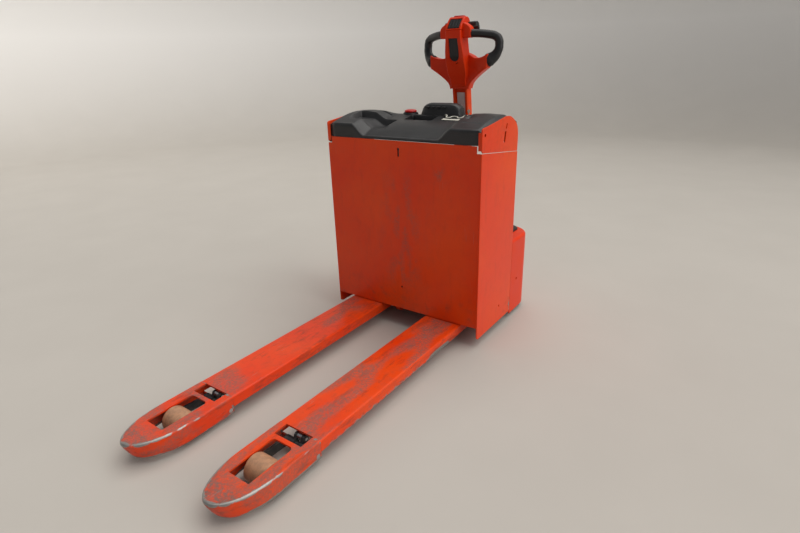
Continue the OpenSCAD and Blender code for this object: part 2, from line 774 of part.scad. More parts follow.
module head_body() {
    difference() {
        union() {
            // Forked shell that carries the grips
            intersection() {
                front_view(-60, 60) polygon(mirrored([[43, -60], [46, -49], [52, -28], [66, -10], [100, 17],
                    [joint_x, 43.5], [joint_x, 99.5], [120, 88], [96, 82], [74, 83], [58, 92], [30, 104]]));
                head_sweep([[-joint_x - 1, -14], [-90, -6], [-50, 2], [50, 2], [90, -6], [joint_x + 1, -14]], 44);
            }
            // Pod that leans forward over the forks
            side_view(-pod_w / 2, pod_w / 2)
                polygon([[-18, -60], [-26, -30], [-pod_reach + 38, 20], [-pod_reach + 22, 60], [-pod_reach + 12, 90],
                         [-pod_reach, 160], [-pod_reach, 192], [pod_back, 192], [pod_back, 95], [12, 70], [20, 40],
                         [22, -60]]);
        }
        // Recessed panel in the front of the pod, along its slope
        intersection() {
            front_view(-200, 0) union() {
                translate([-22, 92]) square([44, 69]);
                translate([0, 92]) circle(22);
            }
            side_view(-30, 30)
                polygon([[-pod_reach - 20, 60], [-pod_reach + 26, 60], [-pod_reach + 16, 90], [-pod_reach + 4, 170],
                         [-pod_reach - 20, 170]]);
        }
        // Seats of the switches on the operator's side
        translate([0, pod_back + 1, 120]) rotate([90, 0, 0]) cylinder(r = 12 + gap, h = 15);
        block(-rocker_w / 2 - gap, rocker_w / 2 + gap, pod_back - 14, pod_back + 1,
              rocker_z - 16 - gap, rocker_z + 16 + gap);
        rod_x(rocker_pin_r + run_fit, -rocker_w / 2 - 4 - gap, rocker_w / 2 + 4 + gap, rocker_pin_y, rocker_z);
    }
}

function grip_outline() = concat(
    [[joint_x + 0.5, 43.5], [grip_x - 32, 54], [grip_x - 15, 67], [grip_x - 4, 92], [grip_x, 117], [grip_x, 143],
     [grip_x - 4, 163], [grip_x - 12, 175], [grip_x - 24, 184], [130, 189], [100, 192], [shoulder_x + 0.5, 194]],
    [[shoulder_x + 0.5, 162], [100, 160], [130, 156], [grip_x - 44, 150], [grip_x - 37, 143], [grip_x - 36, 124],
     [grip_x - 40, 108], [joint_x + 3, 100], [joint_x + 0.5, 99.5]]
);

module grips() {
    color(black) head_frame() for (s = [-1, 1]) mirror([s < 0 ? 1 : 0, 0, 0]) intersection() {
        front_view(-100, 60) polygon(grip_outline());
        head_sweep([[shoulder_x - 1, -43], [100, -30], [130, -14], [155, 0], [grip_x + 1, 7]], grip_d);
    }
}

wing_y = pod_back;
wing_z = 214;
module head_top() {
    color(red) head_frame() difference() {
        union() {
            side_view(-pod_w / 2, pod_w / 2)
                polygon([[-pod_reach, 192.2], [-pod_reach + 6, 200], [-pod_reach + 32, 238], [-pod_reach + 42, 245],
                         [-14, 245], [4, 234], [9, wing_z], [4, 200], [0, 192.2]]);
            // Shoulders that the grips grow out of
            for (s = [-1, 1]) mirror([s < 0 ? 1 : 0, 0, 0]) front_view(-43 - grip_d / 2, -43 + grip_d / 2)
                polygon([[pod_w / 2 + 0.2, 160], [shoulder_x, 162], [shoulder_x, 194], [shoulder_x - 8, 206],
                         [pod_w / 2 - 1, 222], [pod_w / 2 - 1, 193], [pod_w / 2 + 0.2, 193]]);
        }
        block(-24 - gap, 24 + gap, -30 - gap, -8 + gap, 231, 250);
        for (s = [-1, 1]) rod_x(9 + run_fit, s * 30 - 7, s * 30 + 7.5, wing_y, wing_z);
    }
}

module throttle() {
    color(black) head_frame() for (s = [-1, 1]) {
        rod_x(9, s > 0 ? 24 : -52, s > 0 ? 52 : -24, wing_y, wing_z);
        side_view(s > 0 ? pod_w / 2 + gap : -76, s > 0 ? 76 : -pod_w / 2 - gap) translate([wing_y, wing_z])
            polygon([[-8, -6], [8, -6], [22, -24], [30, -20], [20, 6], [6, 12], [-6, 8]]);
    }
}

module horn_button() {
    color(black) head_frame() translate([0, pod_back + 5, 120]) rotate([90, 0, 0]) cylinder(r = 12, h = 14);
}

module lift_rocker() {
    color(black) head_frame() {
        side_view(-rocker_w / 2, rocker_w / 2) translate([pod_back, rocker_z])
            polygon([[-8, -14], [-8, 14], [2, 14], [6, 6], [3, 0], [6, -6], [2, -14]]);
        rod_x(rocker_pin_r, -rocker_w / 2 - 4, rocker_w / 2 + 4, rocker_pin_y, rocker_z);
    }
}

module belly_button() {
    color([0.85, 0.10, 0.06]) head_frame() block(-24, 24, -30, -8, 237.5, 250);
}

// ---------- load wheels and their linkage ----------
module load_arm(side) {
    color(dark) truck() translate([side * fork_x, 0, 0]) difference() {
        union() {
            for (s = [-1, 1]) side_view(s > 0 ? roller_w / 2 + 4 : -roller_w / 2 - 12,
                                        s > 0 ? roller_w / 2 + 12 : -roller_w / 2 - 4) arm_bar();
            for (s = [-1, 1]) rod_x(16.5, s > 0 ? 12 : -roller_w / 2 - 11, s > 0 ? roller_w / 2 + 11 : -12,
                                    pivot_y, pivot_z);
            rod_x(12, -16, 16, pivot_y, pivot_z);
            // Lug that the push rod acts on
            for (x = [-20, 10]) side_view(x, x + 10) lug_view();
            rod_x(axle_d / 2, -roller_w / 2 - 12, roller_w / 2 + 12, roller_y, roller_r);
        }
        rod_x(pivot_d / 2 + run_fit, -fork_w, fork_w, pivot_y, pivot_z);
        rod_x(rod_pin_r + 0.4, -30, 30, pivot_y + lever_dy, pivot_z + lever_dz);
    }
}

// Flat bar with round ends from pivot to roller axle
module arm_bar() {
    lean = asin((roller_r - pivot_z) / arm_len);
    translate([pivot_y, pivot_z]) {
        circle(17);
        rotate(180 - lean) translate([0, -14]) square([arm_len, 28]);
    }
    translate([roller_y, roller_r]) circle(17);
}

module lug_view() {
    translate([pivot_y, pivot_z]) rotate(-lever_lean) {
        translate([-10, 0]) square([20, lever_r]);
        translate([0, lever_r]) circle(11);
    }
}

module load_roller(side) {
    color([0.72, 0.55, 0.42]) truck() translate([side * fork_x, 0, 0]) difference() {
        rod_x(roller_r, -roller_w / 2, roller_w / 2, roller_y, roller_r);
        rod_x(axle_d / 2 + run_fit, -roller_w, roller_w, roller_y, roller_r);
    }
}

module rocker_shaft() {
    color(dark) truck() {
        rod_x(rocker_r, -fork_x - 24, fork_x + 24, rocker_y, pivot_z);
        at_x([-fork_x, fork_x]) difference() {
            union() {
                for (x = [-20, 10]) side_view(x, x + 10) translate([rocker_y - pivot_y, 0]) lug_view();
                for (x = [-24, 10]) rod_x(17, x, x + 14, rocker_y, pivot_z);
            }
            rod_x(rod_pin_r + run_fit, -30, 30, rocker_y + lever_dy, pivot_z + lever_dz);
        }
    }
}

// Rod with an eye and a pin at each end
module push_rod(side) {
    color(steel) truck() translate([side * fork_x, lever_dy, pivot_z + lever_dz]) {
        translate([0, rocker_y - 8, 0]) rotate([90, 0, 0]) cylinder(r = 9, h = rocker_y - pivot_y - 16);
        for (y = [pivot_y, rocker_y]) {
            rod_x(11, -9, 9, y, 0);
            rod_x(rod_pin_r, -22, 22, y, 0);
        }
    }
}

fork(-1);  // fork_left
fork(1);  // fork_right
fork_nose(-1);  // fork_nose_left
fork_nose(1);  // fork_nose_right
heel_frame();
front_panel();
side_plate(-1);  // side_plate_left
side_plate(1);  // side_plate_right
bulkhead();
guide_shoes();
battery();
battery_connector();
lift_rod();
hood_hinges();
arm_pivot_pins();
hood_shell();
hood_side(-1);  // hood_side_left
hood_side(1);  // hood_side_right
console_housing();
display();
emergency_stop();
key();
document_clip();
drive_frame();
lift_barrel();
hydraulic_unit();
controller();
drive_cover();
cover_caps();
bearing_ring();
castor_fork(-1);  // castor_fork_left
castor_fork(1);  // castor_fork_right
castor_wheel(-1);  // castor_wheel_left
castor_wheel(1);  // castor_wheel_right
turntable();
gearbox();
drive_motor();
tiller_bracket();
tiller_pin();
wheel_hub();
drive_tyre();
wheel_bolts();
tiller_arm();
label_plate();
head_shell();
head_top();
grips();
throttle();
horn_button();
lift_rocker();
belly_button();
load_arm(-1);  // load_arm_left
load_arm(1);  // load_arm_right
load_roller(-1);  // load_roller_left
load_roller(1);  // load_roller_right
rocker_shaft();
push_rod(-1);  // push_rod_left
push_rod(1);  // push_rod_right
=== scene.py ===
# %% [markdown]
# # Electric pallet truck
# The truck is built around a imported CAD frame. Every CAD node already sits in its place and moves
# with its body, so this file adds the shapes and finishes that the eye sees: rounded sheet metal,
# moulded covers, soft grips and worn paint. Blender counts in metres, and MM turns millimetres
# into them.

# %% Load the frame
import json
import math

import bpy
import bmesh
from mathutils import Matrix, Vector
from mathutils import noise as mathutils_noise

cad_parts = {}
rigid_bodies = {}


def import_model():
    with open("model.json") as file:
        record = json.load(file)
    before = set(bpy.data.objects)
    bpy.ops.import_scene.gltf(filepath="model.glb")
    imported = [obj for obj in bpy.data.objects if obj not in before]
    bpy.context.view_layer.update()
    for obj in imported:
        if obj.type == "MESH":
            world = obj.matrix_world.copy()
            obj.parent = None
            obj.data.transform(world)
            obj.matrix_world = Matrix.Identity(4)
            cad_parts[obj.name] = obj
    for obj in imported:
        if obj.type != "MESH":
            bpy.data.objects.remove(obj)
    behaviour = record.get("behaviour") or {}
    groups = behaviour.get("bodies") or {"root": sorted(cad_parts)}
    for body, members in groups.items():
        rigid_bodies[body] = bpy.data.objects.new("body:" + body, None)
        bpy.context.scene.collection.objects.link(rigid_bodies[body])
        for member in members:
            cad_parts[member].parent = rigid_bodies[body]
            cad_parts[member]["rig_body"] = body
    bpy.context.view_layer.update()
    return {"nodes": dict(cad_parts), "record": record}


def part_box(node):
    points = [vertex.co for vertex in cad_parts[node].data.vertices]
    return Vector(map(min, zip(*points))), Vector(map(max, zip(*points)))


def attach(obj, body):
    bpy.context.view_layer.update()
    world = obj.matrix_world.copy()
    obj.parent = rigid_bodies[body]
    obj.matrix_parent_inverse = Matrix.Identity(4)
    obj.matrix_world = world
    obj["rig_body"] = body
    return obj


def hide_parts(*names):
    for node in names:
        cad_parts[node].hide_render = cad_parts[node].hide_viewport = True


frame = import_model()
MM = 0.001
face_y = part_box("front_panel")[0].y
print("battery box face at y =", round(face_y, 4))

# %% [markdown]
# ## Camera
# The camera stands to the right of the fork tips at about chest height and looks down over the
# truck. Three angles and a focal length describe it. The axes are built from the view direction,
# then turned by a small roll, which is how a hand-held camera ends up slightly out of level.

# %% Camera
def aim_camera(place, yaw, pitch, roll, lens):
    forward = Vector((math.sin(yaw) * math.cos(pitch), math.cos(yaw) * math.cos(pitch), -math.sin(pitch)))
    right = Vector((math.cos(yaw), -math.sin(yaw), 0))
    down = forward.cross(right)
    right_rolled = math.cos(roll) * right + math.sin(roll) * down
    down_rolled = math.cos(roll) * down - math.sin(roll) * right
    data = bpy.data.cameras.new("camera")
    data.lens = lens
    data.sensor_width = 36
    camera = bpy.data.objects.new("camera", data)
    bpy.context.scene.collection.objects.link(camera)
    turn = Matrix((right_rolled, -down_rolled, -forward)).transposed()
    camera.matrix_world = Matrix.Translation(place) @ turn.to_4x4()
    bpy.context.scene.camera = camera
    return camera


camera = aim_camera(place=(1.178, face_y - 1.662, 1.094), yaw=math.radians(-35.48),
                    pitch=math.radians(21.62), roll=math.radians(1.74), lens=23.34)
print("camera lens", camera.data.lens, "mm")

# %% [markdown]
# ## Lamps
# The light is that of a bright hall on an overcast day. A wide sun-like lamp straight above lights
# the tops, a second from the right lights the side plates, and the front stays in shade. Area lamps
# would do too, but sun lamps have no fall-off, so the pale floor keeps one tone all the way back.

# %% Lamps
def hall_light(name, yaw, pitch, strength, spread, tint):
    """Parallel light. Yaw turns round Z from straight behind, pitch is the height above the horizon."""
    data = bpy.data.lights.new(name, "SUN")
    data.energy = strength
    data.angle = math.radians(spread)
    data.color = tint
    lamp = bpy.data.objects.new(name, data)
    level = math.cos(math.radians(pitch))
    towards = Vector((math.sin(math.radians(yaw)) * level, math.cos(math.radians(yaw)) * level,
                      math.sin(math.radians(pitch))))
    lamp.location = towards * 5
    lamp.rotation_euler = (-towards).to_track_quat("-Z", "Y").to_euler()
    bpy.context.scene.collection.objects.link(lamp)
    return lamp


roof_light = hall_light("roof_light", yaw=25, pitch=74, strength=1.75, spread=60, tint=(1.0, 0.97, 0.93))
window_light = hall_light("window_light", yaw=82, pitch=30, strength=1.45, spread=60, tint=(1.0, 0.97, 0.94))
print("lamps:", roof_light.name, window_light.name)

# %% [markdown]
# ## Sky
# What reaches the truck from everywhere else is a dim, slightly blue glow. It fills the shadows, so
# that black plastic still shows its shape. The Standard view shows the colours as they are mixed.

# %% Sky
world = bpy.data.worlds.new("hall")
world.use_nodes = True
world.node_tree.nodes["Background"].inputs["Color"].default_value = (0.93, 0.95, 1.0, 1)
world.node_tree.nodes["Background"].inputs["Strength"].default_value = 0.22
bpy.context.scene.world = world
bpy.context.scene.view_settings.view_transform = "Standard"
print("sky:", world.name)

# %% [markdown]
# ## Finishes
# Colours are written as sRGB hex values, the way a paint card gives them, and one function turns
# them into the linear values that the renderer counts with.

# %% Colours
def linear(hex_colour):
    parts = [int(hex_colour[i:i + 2], 16) / 255 for i in (1, 3, 5)]
    return tuple(c / 12.92 if c <= 0.04045 else ((c + 0.055) / 1.055) ** 2.4 for c in parts) + (1.0,)


print("mid grey is", round(linear("#808080")[0], 3), "in linear light")

# %% [markdown]
# ### Nodes
# A material is a tree of nodes that ends in a shader. Clicking them together by hand could not be
# repeated, so one small function adds a node, sets it and links it. A node can be handed straight
# to the next one, and its first output is then meant. A pattern's scale is given as the size in
# millimetres of one of its patches, which per_metre turns into Blender's patches to a metre.

# %% Nodes
MULTIPLY = {"operation": "MULTIPLY", "use_clamp": True}
PLUS = {"operation": "ADD", "use_clamp": True}
COLOURS = {"data_type": "RGBA"}
# Numbers of a Mix node's inputs when it mixes colours
FACTOR, FIRST, SECOND = 0, 6, 7


def feed(tree, node, inputs):
    """Sets or links inputs by name or number. A value may be a number, a colour, a node or a socket."""
    for key, value in inputs.items():
        if isinstance(value, bpy.types.Node):
            value = next(socket for socket in value.outputs if socket.enabled)
        if isinstance(value, bpy.types.NodeSocket):
            tree.links.new(value, node.inputs[key])
        else:
            node.inputs[key].default_value = value


def add(tree, kind, inputs, **settings):
    node = tree.nodes.new("ShaderNode" + kind)
    for name, value in settings.items():
        setattr(node, name, value)
    feed(tree, node, inputs)
    return node


def per_metre(size_mm):
    return 1 / (size_mm * MM)


def start_material(name, **shader):
    """A new material: its tree, its shader, and places measured on the piece in metres."""
    material = bpy.data.materials.new(name)
    material.use_nodes = True
    tree = material.node_tree
    surface = tree.nodes["Principled BSDF"]
    feed(tree, surface, {key.replace("_", " "): value for key, value in shader.items()})
    place = add(tree, "TexCoord", {}).outputs["Object"]
    return material, tree, surface, place


print("a patch of 5 mm needs a scale of", per_metre(5))

# %% [markdown]
# ### Stove-enamelled steel: scratches
# Forks and body plates are pressed steel with a thick orange-red enamel, sprayed and baked. Pallets
# drag hairlines into it. Painting them by hand would give a fixed picture, so noise is drawn out
# 40 to 1 along the way that pallets slide, and a coarser noise keeps the lines to some patches.
# Real hairlines are finer than 2.2 mm. They are drawn this coarse so that they show.

# %% Enamel scratches
def drawn_out(axis, amount):
    """Scale factors that draw a pattern out along one axis."""
    return [amount if letter == axis else 1.0 for letter in "XYZ"]


def hairlines(tree, place, axis, strength):
    long_way = add(tree, "Mapping", {"Vector": place, "Scale": drawn_out(axis, 0.025)})
    lines = add(tree, "TexNoise", {"Vector": long_way, "Scale": per_metre(2.2), "Detail": 2.0,
                                   "Roughness": 0.6})
    lines = add(tree, "MapRange", {"Value": lines, "From Min": 0.66, "From Max": 0.72})
    where = add(tree, "TexNoise", {"Vector": place, "Scale": per_metre(70), "Detail": 3.0})
    where = add(tree, "MapRange", {"Value": where, "From Min": 0.52, "From Max": 0.66})
    hair = add(tree, "Math", {0: lines, 1: where}, **MULTIPLY)
    return add(tree, "Math", {0: hair, 1: strength}, **MULTIPLY)


print("hairlines are", round(1 / drawn_out("Y", 0.025)[1]), "times as long as wide")

# %% [markdown]
# ### Stove-enamelled steel: dirt and painted shade
# Use leaves three kinds of dirt on enamel. A dull film gathers in clouds, dark smears follow the
# pallets, and rubbing turns the gloss a greyish tan. The same greyish tan is painted shade on the
# flanks of the noses, where it darkens the sides as their shadow would. A mesh can carry a "wear"
# and a "scuff" value on its points, and noise breaks these up, so dirt sits where it
# would on the real truck.

# %% Enamel dirt and painted shade
RUBBED_DIRT = "#5C4A44"
SMEARED_DIRT = "#43332C"
# Rubbed paint, and also the painted shade on the flanks of the noses
DULLED_PAINT_AND_SHADE = "#6E625B"


def soiled_and_shaded(tree, place, paint, wear, axis, grime):
    """The paint under its dirt and painted shade, and how dull these make it."""
    cloud = add(tree, "TexNoise", {"Vector": place, "Scale": per_metre(34), "Detail": 5.0, "Roughness": 0.62})
    cloud = add(tree, "MapRange", {"Value": cloud, "From Min": 0.46, "From Max": 0.72})
    soil = add(tree, "Math", {0: wear, 1: grime}, **PLUS)
    film = add(tree, "Math", {0: cloud, 1: soil}, **MULTIPLY)
    thin_film = add(tree, "Math", {0: film, 1: 0.75}, **MULTIPLY)
    dirty_and_shaded = add(tree, "Mix", {FACTOR: thin_film, FIRST: paint, SECOND: linear(RUBBED_DIRT)}, **COLOURS)
    long_way = add(tree, "Mapping", {"Vector": place, "Scale": drawn_out(axis, 0.28)})
    smear = add(tree, "TexNoise", {"Vector": long_way, "Scale": per_metre(26), "Detail": 6.0,
                                   "Roughness": 0.68})
    smear = add(tree, "MapRange", {"Value": smear, "From Min": 0.53, "From Max": 0.70})
    smear = add(tree, "Math", {0: smear, 1: grime * 3.2}, **MULTIPLY)
    dirty_and_shaded = add(tree, "Mix", {FACTOR: smear, FIRST: dirty_and_shaded, SECOND: linear(SMEARED_DIRT)}, **COLOURS)
    scuff = add(tree, "Attribute", {}, attribute_name="scuff").outputs["Fac"]
    patchy = add(tree, "TexNoise", {"Vector": place, "Scale": per_metre(8), "Detail": 5.0, "Roughness": 0.7})
    patchy = add(tree, "MapRange", {"Value": patchy, "From Min": 0.30, "From Max": 0.62})
    # The scuff value turns the paint greyish tan: rubbed paint on forks and panel, painted shade on the nose
    # flanks
    rubbed = add(tree, "Math", {0: scuff, 1: patchy}, **MULTIPLY)
    dirty_and_shaded = add(tree, "Mix", {FACTOR: rubbed, FIRST: dirty_and_shaded, SECOND: linear(DULLED_PAINT_AND_SHADE)}, **COLOURS)
    return dirty_and_shaded, add(tree, "Math", {0: film, 1: rubbed}, **PLUS)


# The last colour is also the painted shade on the flanks of the noses
print("dirt colours:", RUBBED_DIRT, SMEARED_DIRT, DULLED_PAINT_AND_SHADE)

# %% [markdown]
# ### Stove-enamelled steel: the finish
# Baked enamel is a hard, glossy skin with a slight orange peel a few millimetres across. Along
# edges it chips down to bare metal, and a chip is sharp, so the wear value plus noise is cut off
# steeply. The steel under it is metallic and sits a little lower. The plates of the body get far
# fewer scratches than the forks, and theirs run upright.

# %% Enamel
ENAMEL = "#E23A06"
ENAMEL_FADED = "#E8490F"
STEEL_DARK = "#8B8884"
BARE_STEEL = "#A9A7A3"


def chips(tree, place, wear, axis, hair):
    """1 where the paint is gone, 0 where it holds."""
    long_way = add(tree, "Mapping", {"Vector": place, "Scale": drawn_out(axis, 0.3)})
    grain = add(tree, "TexNoise", {"Vector": long_way, "Scale": per_metre(7), "Detail": 6.0,
                                   "Roughness": 0.7})
    grain = add(tree, "Math", {0: grain, 1: 0.5}, **MULTIPLY)
    worn = add(tree, "Math", {0: wear, 1: 0.62}, **MULTIPLY)
    edge = add(tree, "Math", {0: worn, 1: grain}, **PLUS)
    edge = add(tree, "MapRange", {"Value": edge, "From Min": 0.60, "From Max": 0.66})
    return add(tree, "Math", {0: edge, 1: hair}, operation="MAXIMUM", use_clamp=True)


def enamel(name, scratch_axis, scratch_amount, grime):
    material, tree, surface, place = start_material(name, IOR=1.5, Specular_IOR_Level=0.24,
                                                    Coat_Weight=0.07, Coat_Roughness=0.22)
    wear = add(tree, "Attribute", {}, attribute_name="wear").outputs["Fac"]
    fade = add(tree, "TexNoise", {"Vector": place, "Scale": per_metre(260), "Detail": 3.0})
    fade = add(tree, "MapRange", {"Value": fade, "From Min": 0.35, "From Max": 0.65})
    paint = add(tree, "Mix", {FACTOR: fade, FIRST: linear(ENAMEL), SECOND: linear(ENAMEL_FADED)}, **COLOURS)
    # This colour holds the dirt, and on the nose flanks the painted shade as well
    dirty_and_shaded, film = soiled_and_shaded(tree, place, paint, wear, scratch_axis, grime)
    chip = chips(tree, place, wear, scratch_axis, hairlines(tree, place, scratch_axis, scratch_amount))
    tone = add(tree, "TexNoise", {"Vector": place, "Scale": per_metre(12), "Detail": 4.0})
    steel = add(tree, "Mix", {FACTOR: tone, FIRST: linear(STEEL_DARK), SECOND: linear(BARE_STEEL)}, **COLOURS)
    colour = add(tree, "Mix", {FACTOR: chip, FIRST: dirty_and_shaded, SECOND: steel}, **COLOURS)
    metal = add(tree, "Math", {0: chip, 1: 0.85}, **MULTIPLY)
    faded = add(tree, "Math", {0: fade, 1: 0.2}, **MULTIPLY)
    dull = add(tree, "Math", {0: film, 1: faded}, **PLUS)
    dull = add(tree, "MapRange", {"Value": dull, "To Min": 0.32, "To Max": 0.66})
    steel_roughness = (0.42, 0.42, 0.42, 1)
    roughness = add(tree, "Mix", {FACTOR: chip, FIRST: dull, SECOND: steel_roughness}, **COLOURS)
    peel = add(tree, "TexNoise", {"Vector": place, "Scale": per_metre(5), "Detail": 2.0})
    drop = add(tree, "Math", {0: chip, 1: 0.6}, **MULTIPLY)
    height = add(tree, "Math", {0: peel, 1: drop}, operation="SUBTRACT", use_clamp=True)
    skin = add(tree, "Bump", {"Height": height, "Strength": 0.16, "Distance": 0.35 * MM})
    feed(tree, surface, {"Base Color": colour, "Metallic": metal, "Roughness": roughness, "Normal": skin})
    return material


enamel_forks = enamel("enamel_forks", "Y", 1.0, 0.16)
enamel_body = enamel("enamel_body", "Z", 0.18, 0.03)
print("enamel:", enamel_forks.name, enamel_body.name)

# %% [markdown]
# ### Moulded plastics
# The hood, console and caps are black polypropylene, moulded in a tool with an etched grain, which
# makes it matt and a little grey in strong light. The grips are softer and smoother. The red
# covers are through-coloured plastic. Grain about 1 mm across is coarser than the real one, so
# that it still shows from a distance. Dust is lighter and duller than the plastic under it.

# %% Plastics
def moulding(name, colour, dusty, roughness, grain_mm, grain_strength, shine=0.5):
    material, tree, surface, place = start_material(name, IOR=1.49, Specular_IOR_Level=shine)
    wear = add(tree, "Attribute", {}, attribute_name="wear").outputs["Fac"]
    cloud = add(tree, "TexNoise", {"Vector": place, "Scale": per_metre(90), "Detail": 4.0})
    cloud = add(tree, "MapRange", {"Value": cloud, "From Min": 0.38, "From Max": 0.68})
    fleck = add(tree, "TexNoise", {"Vector": place, "Scale": per_metre(9), "Detail": 5.0, "Roughness": 0.7})
    fleck = add(tree, "MapRange", {"Value": fleck, "From Min": 0.55, "From Max": 0.75})
    half_cloud = add(tree, "Math", {0: cloud, 1: 0.5}, **MULTIPLY)
    some_flecks = add(tree, "Math", {0: fleck, 1: 0.25}, **MULTIPLY)
    dust = add(tree, "Math", {0: half_cloud, 1: some_flecks}, **PLUS)
    worn_flecks = add(tree, "Math", {0: wear, 1: fleck}, **MULTIPLY)
    dust = add(tree, "Math", {0: dust, 1: worn_flecks}, **PLUS)
    tint = add(tree, "Mix", {FACTOR: dust, FIRST: linear(colour), SECOND: linear(dusty)}, **COLOURS)
    dull = add(tree, "MapRange", {"Value": dust, "To Min": roughness, "To Max": min(0.9, roughness + 0.18)})
    grain = add(tree, "TexNoise", {"Vector": place, "Scale": per_metre(grain_mm), "Detail": 2.0})
    skin = add(tree, "Bump", {"Height": grain, "Strength": grain_strength, "Distance": 0.3 * MM})
    feed(tree, surface, {"Base Color": tint, "Roughness": dull, "Normal": skin})
    return material


black_plastic = moulding("polypropylene_black", "#131314", "#2C2C2E", 0.42, 1.6, 0.35, 0.6)
grip_rubber = moulding("grip_elastomer", "#141416", "#29292B", 0.42, 1.2, 0.2)
red_plastic = moulding("covers_red", "#DC3206", "#E4410F", 0.34, 4.0, 0.05, 0.24)
button_red = moulding("button_red", "#B80D0D", "#C81E16", 0.28, 2.0, 0.03)
label_grey = moulding("label_grey", "#DAD7D2", "#E8E5E0", 0.45, 3.0, 0.05)
nylon = moulding("nylon_natural", "#D8D5C8", "#C9C4B4", 0.5, 2.0, 0.1)
battery_grey = moulding("battery_case_grey", "#4A4D50", "#5C5F61", 0.5, 3.0, 0.1)
print("plastics:", black_plastic.name, red_plastic.name)

# %% [markdown]
# ### Turned and ground steel
# Pins, axles and rods are bare steel, whose fine turning marks run round the axis. The noise is
# drawn out along X, the way that most axles lie. Old steel also has brown stains a few centimetres
# across. A metal takes its colour from its reflection, so Metallic is 1 and the IOR stays as it is.

# %% Bare steel
STAIN = "#5A4438"


def machined(name, colour, roughness, mark_mm, rust):
    material, tree, surface, place = start_material(name, Metallic=1.0)
    long_way = add(tree, "Mapping", {"Vector": place, "Scale": (0.15, 1, 1)})
    marks = add(tree, "TexNoise", {"Vector": long_way, "Scale": per_metre(mark_mm), "Detail": 3.0,
                                   "Roughness": 0.6})
    stain = add(tree, "TexNoise", {"Vector": place, "Scale": per_metre(22), "Detail": 5.0, "Roughness": 0.65})
    stain = add(tree, "MapRange", {"Value": stain, "From Min": 0.5, "From Max": 0.72})
    stain = add(tree, "Math", {0: stain, 1: rust}, **MULTIPLY)
    tint = add(tree, "Mix", {FACTOR: stain, FIRST: linear(colour), SECOND: linear(STAIN)}, **COLOURS)
    dull = add(tree, "MapRange", {"Value": marks, "From Min": 0.3, "From Max": 0.7,
                                  "To Min": roughness - 0.08, "To Max": roughness + 0.12})
    skin = add(tree, "Bump", {"Height": marks, "Strength": 0.15, "Distance": 0.2 * MM})
    feed(tree, surface, {"Base Color": tint, "Roughness": dull, "Normal": skin})
    return material


bright_steel = machined("steel_ground", "#B9BABC", 0.28, 0.8, 0.25)
dull_steel = machined("steel_worn", "#8F8E8C", 0.42, 1.2, 0.6)
zinc = machined("steel_zinc_plated", "#A8A89C", 0.36, 2.0, 0.1)
print("steels:", bright_steel.name, dull_steel.name, zinc.name)

# %% [markdown]
# ### Dark enamel on castings
# Castings and welded brackets carry a thin dark enamel over a rough skin, with oily dust on it.
# The paint hides the metal, so this is a plain coat with a coarse bump and not a metallic shader.

# %% Dark enamel
OILY_DUST = "#4B4742"


def dark_enamel(name, colour, roughness):
    material, tree, surface, place = start_material(name, IOR=1.5)
    oily = add(tree, "TexNoise", {"Vector": place, "Scale": per_metre(40), "Detail": 5.0, "Roughness": 0.6})
    oily = add(tree, "MapRange", {"Value": oily, "From Min": 0.42, "From Max": 0.7})
    rough_skin = add(tree, "TexNoise", {"Vector": place, "Scale": per_metre(3), "Detail": 4.0,
                                        "Roughness": 0.6})
    tint = add(tree, "Mix", {FACTOR: oily, FIRST: linear(colour), SECOND: linear(OILY_DUST)}, **COLOURS)
    dull = add(tree, "MapRange", {"Value": oily, "To Min": roughness, "To Max": roughness + 0.2})
    skin = add(tree, "Bump", {"Height": rough_skin, "Strength": 0.3, "Distance": 0.4 * MM})
    feed(tree, surface, {"Base Color": tint, "Roughness": dull, "Normal": skin})
    return material


cast_dark = dark_enamel("cast_iron_enamelled", "#26272A", 0.46)
frame_dark = dark_enamel("chassis_enamel_dark", "#2B2C2E", 0.5)
print("dark enamels:", cast_dark.name, frame_dark.name)

# %% [markdown]
# ### Polyurethane
# Load rollers are cast tan polyurethane: slightly translucent when new, dull and scuffed in use,
# with fine rings worn round the tread. A little subsurface scattering gives the translucence. The
# drive tyre and castors are a dark grade of it.

# %% Polyurethane
def polyurethane(name, fresh, used, roughness):
    material, tree, surface, place = start_material(name, IOR=1.5, Subsurface_Weight=0.08,
                                                    Subsurface_Radius=(0.003, 0.002, 0.001))
    round_way = add(tree, "Mapping", {"Vector": place, "Scale": (1, 0.06, 0.06)})
    rings = add(tree, "TexNoise", {"Vector": round_way, "Scale": per_metre(2.5), "Detail": 3.0,
                                   "Roughness": 0.6})
    blotches = add(tree, "TexNoise", {"Vector": place, "Scale": per_metre(16), "Detail": 5.0,
                                      "Roughness": 0.65})
    blotches = add(tree, "MapRange", {"Value": blotches, "From Min": 0.42, "From Max": 0.68})
    blotches = add(tree, "Math", {0: blotches, 1: 0.7}, **MULTIPLY)
    dark_rings = add(tree, "MapRange", {"Value": rings, "From Min": 0.55, "From Max": 0.8, "To Max": 0.4})
    soil = add(tree, "Math", {0: blotches, 1: dark_rings}, **PLUS)
    tint = add(tree, "Mix", {FACTOR: soil, FIRST: linear(fresh), SECOND: linear(used)}, **COLOURS)
    dull = add(tree, "MapRange", {"Value": soil, "To Min": roughness, "To Max": roughness + 0.2})
    skin = add(tree, "Bump", {"Height": rings, "Strength": 0.25, "Distance": 0.3 * MM})
    feed(tree, surface, {"Base Color": tint, "Roughness": dull, "Normal": skin})
    return material


tan_roller = polyurethane("polyurethane_tan", "#B98A68", "#8E6B53", 0.5)
dark_tread = polyurethane("polyurethane_dark", "#1B1A19", "#35302C", 0.6)
print("polyurethane:", tan_roller.name, dark_tread.name)

# %% [markdown]
# ### Display glass
# The display on the console is switched off: nearly black under a smooth clear pane. A smooth pane
# has no pattern worth drawing, so the shader's own sockets are enough.

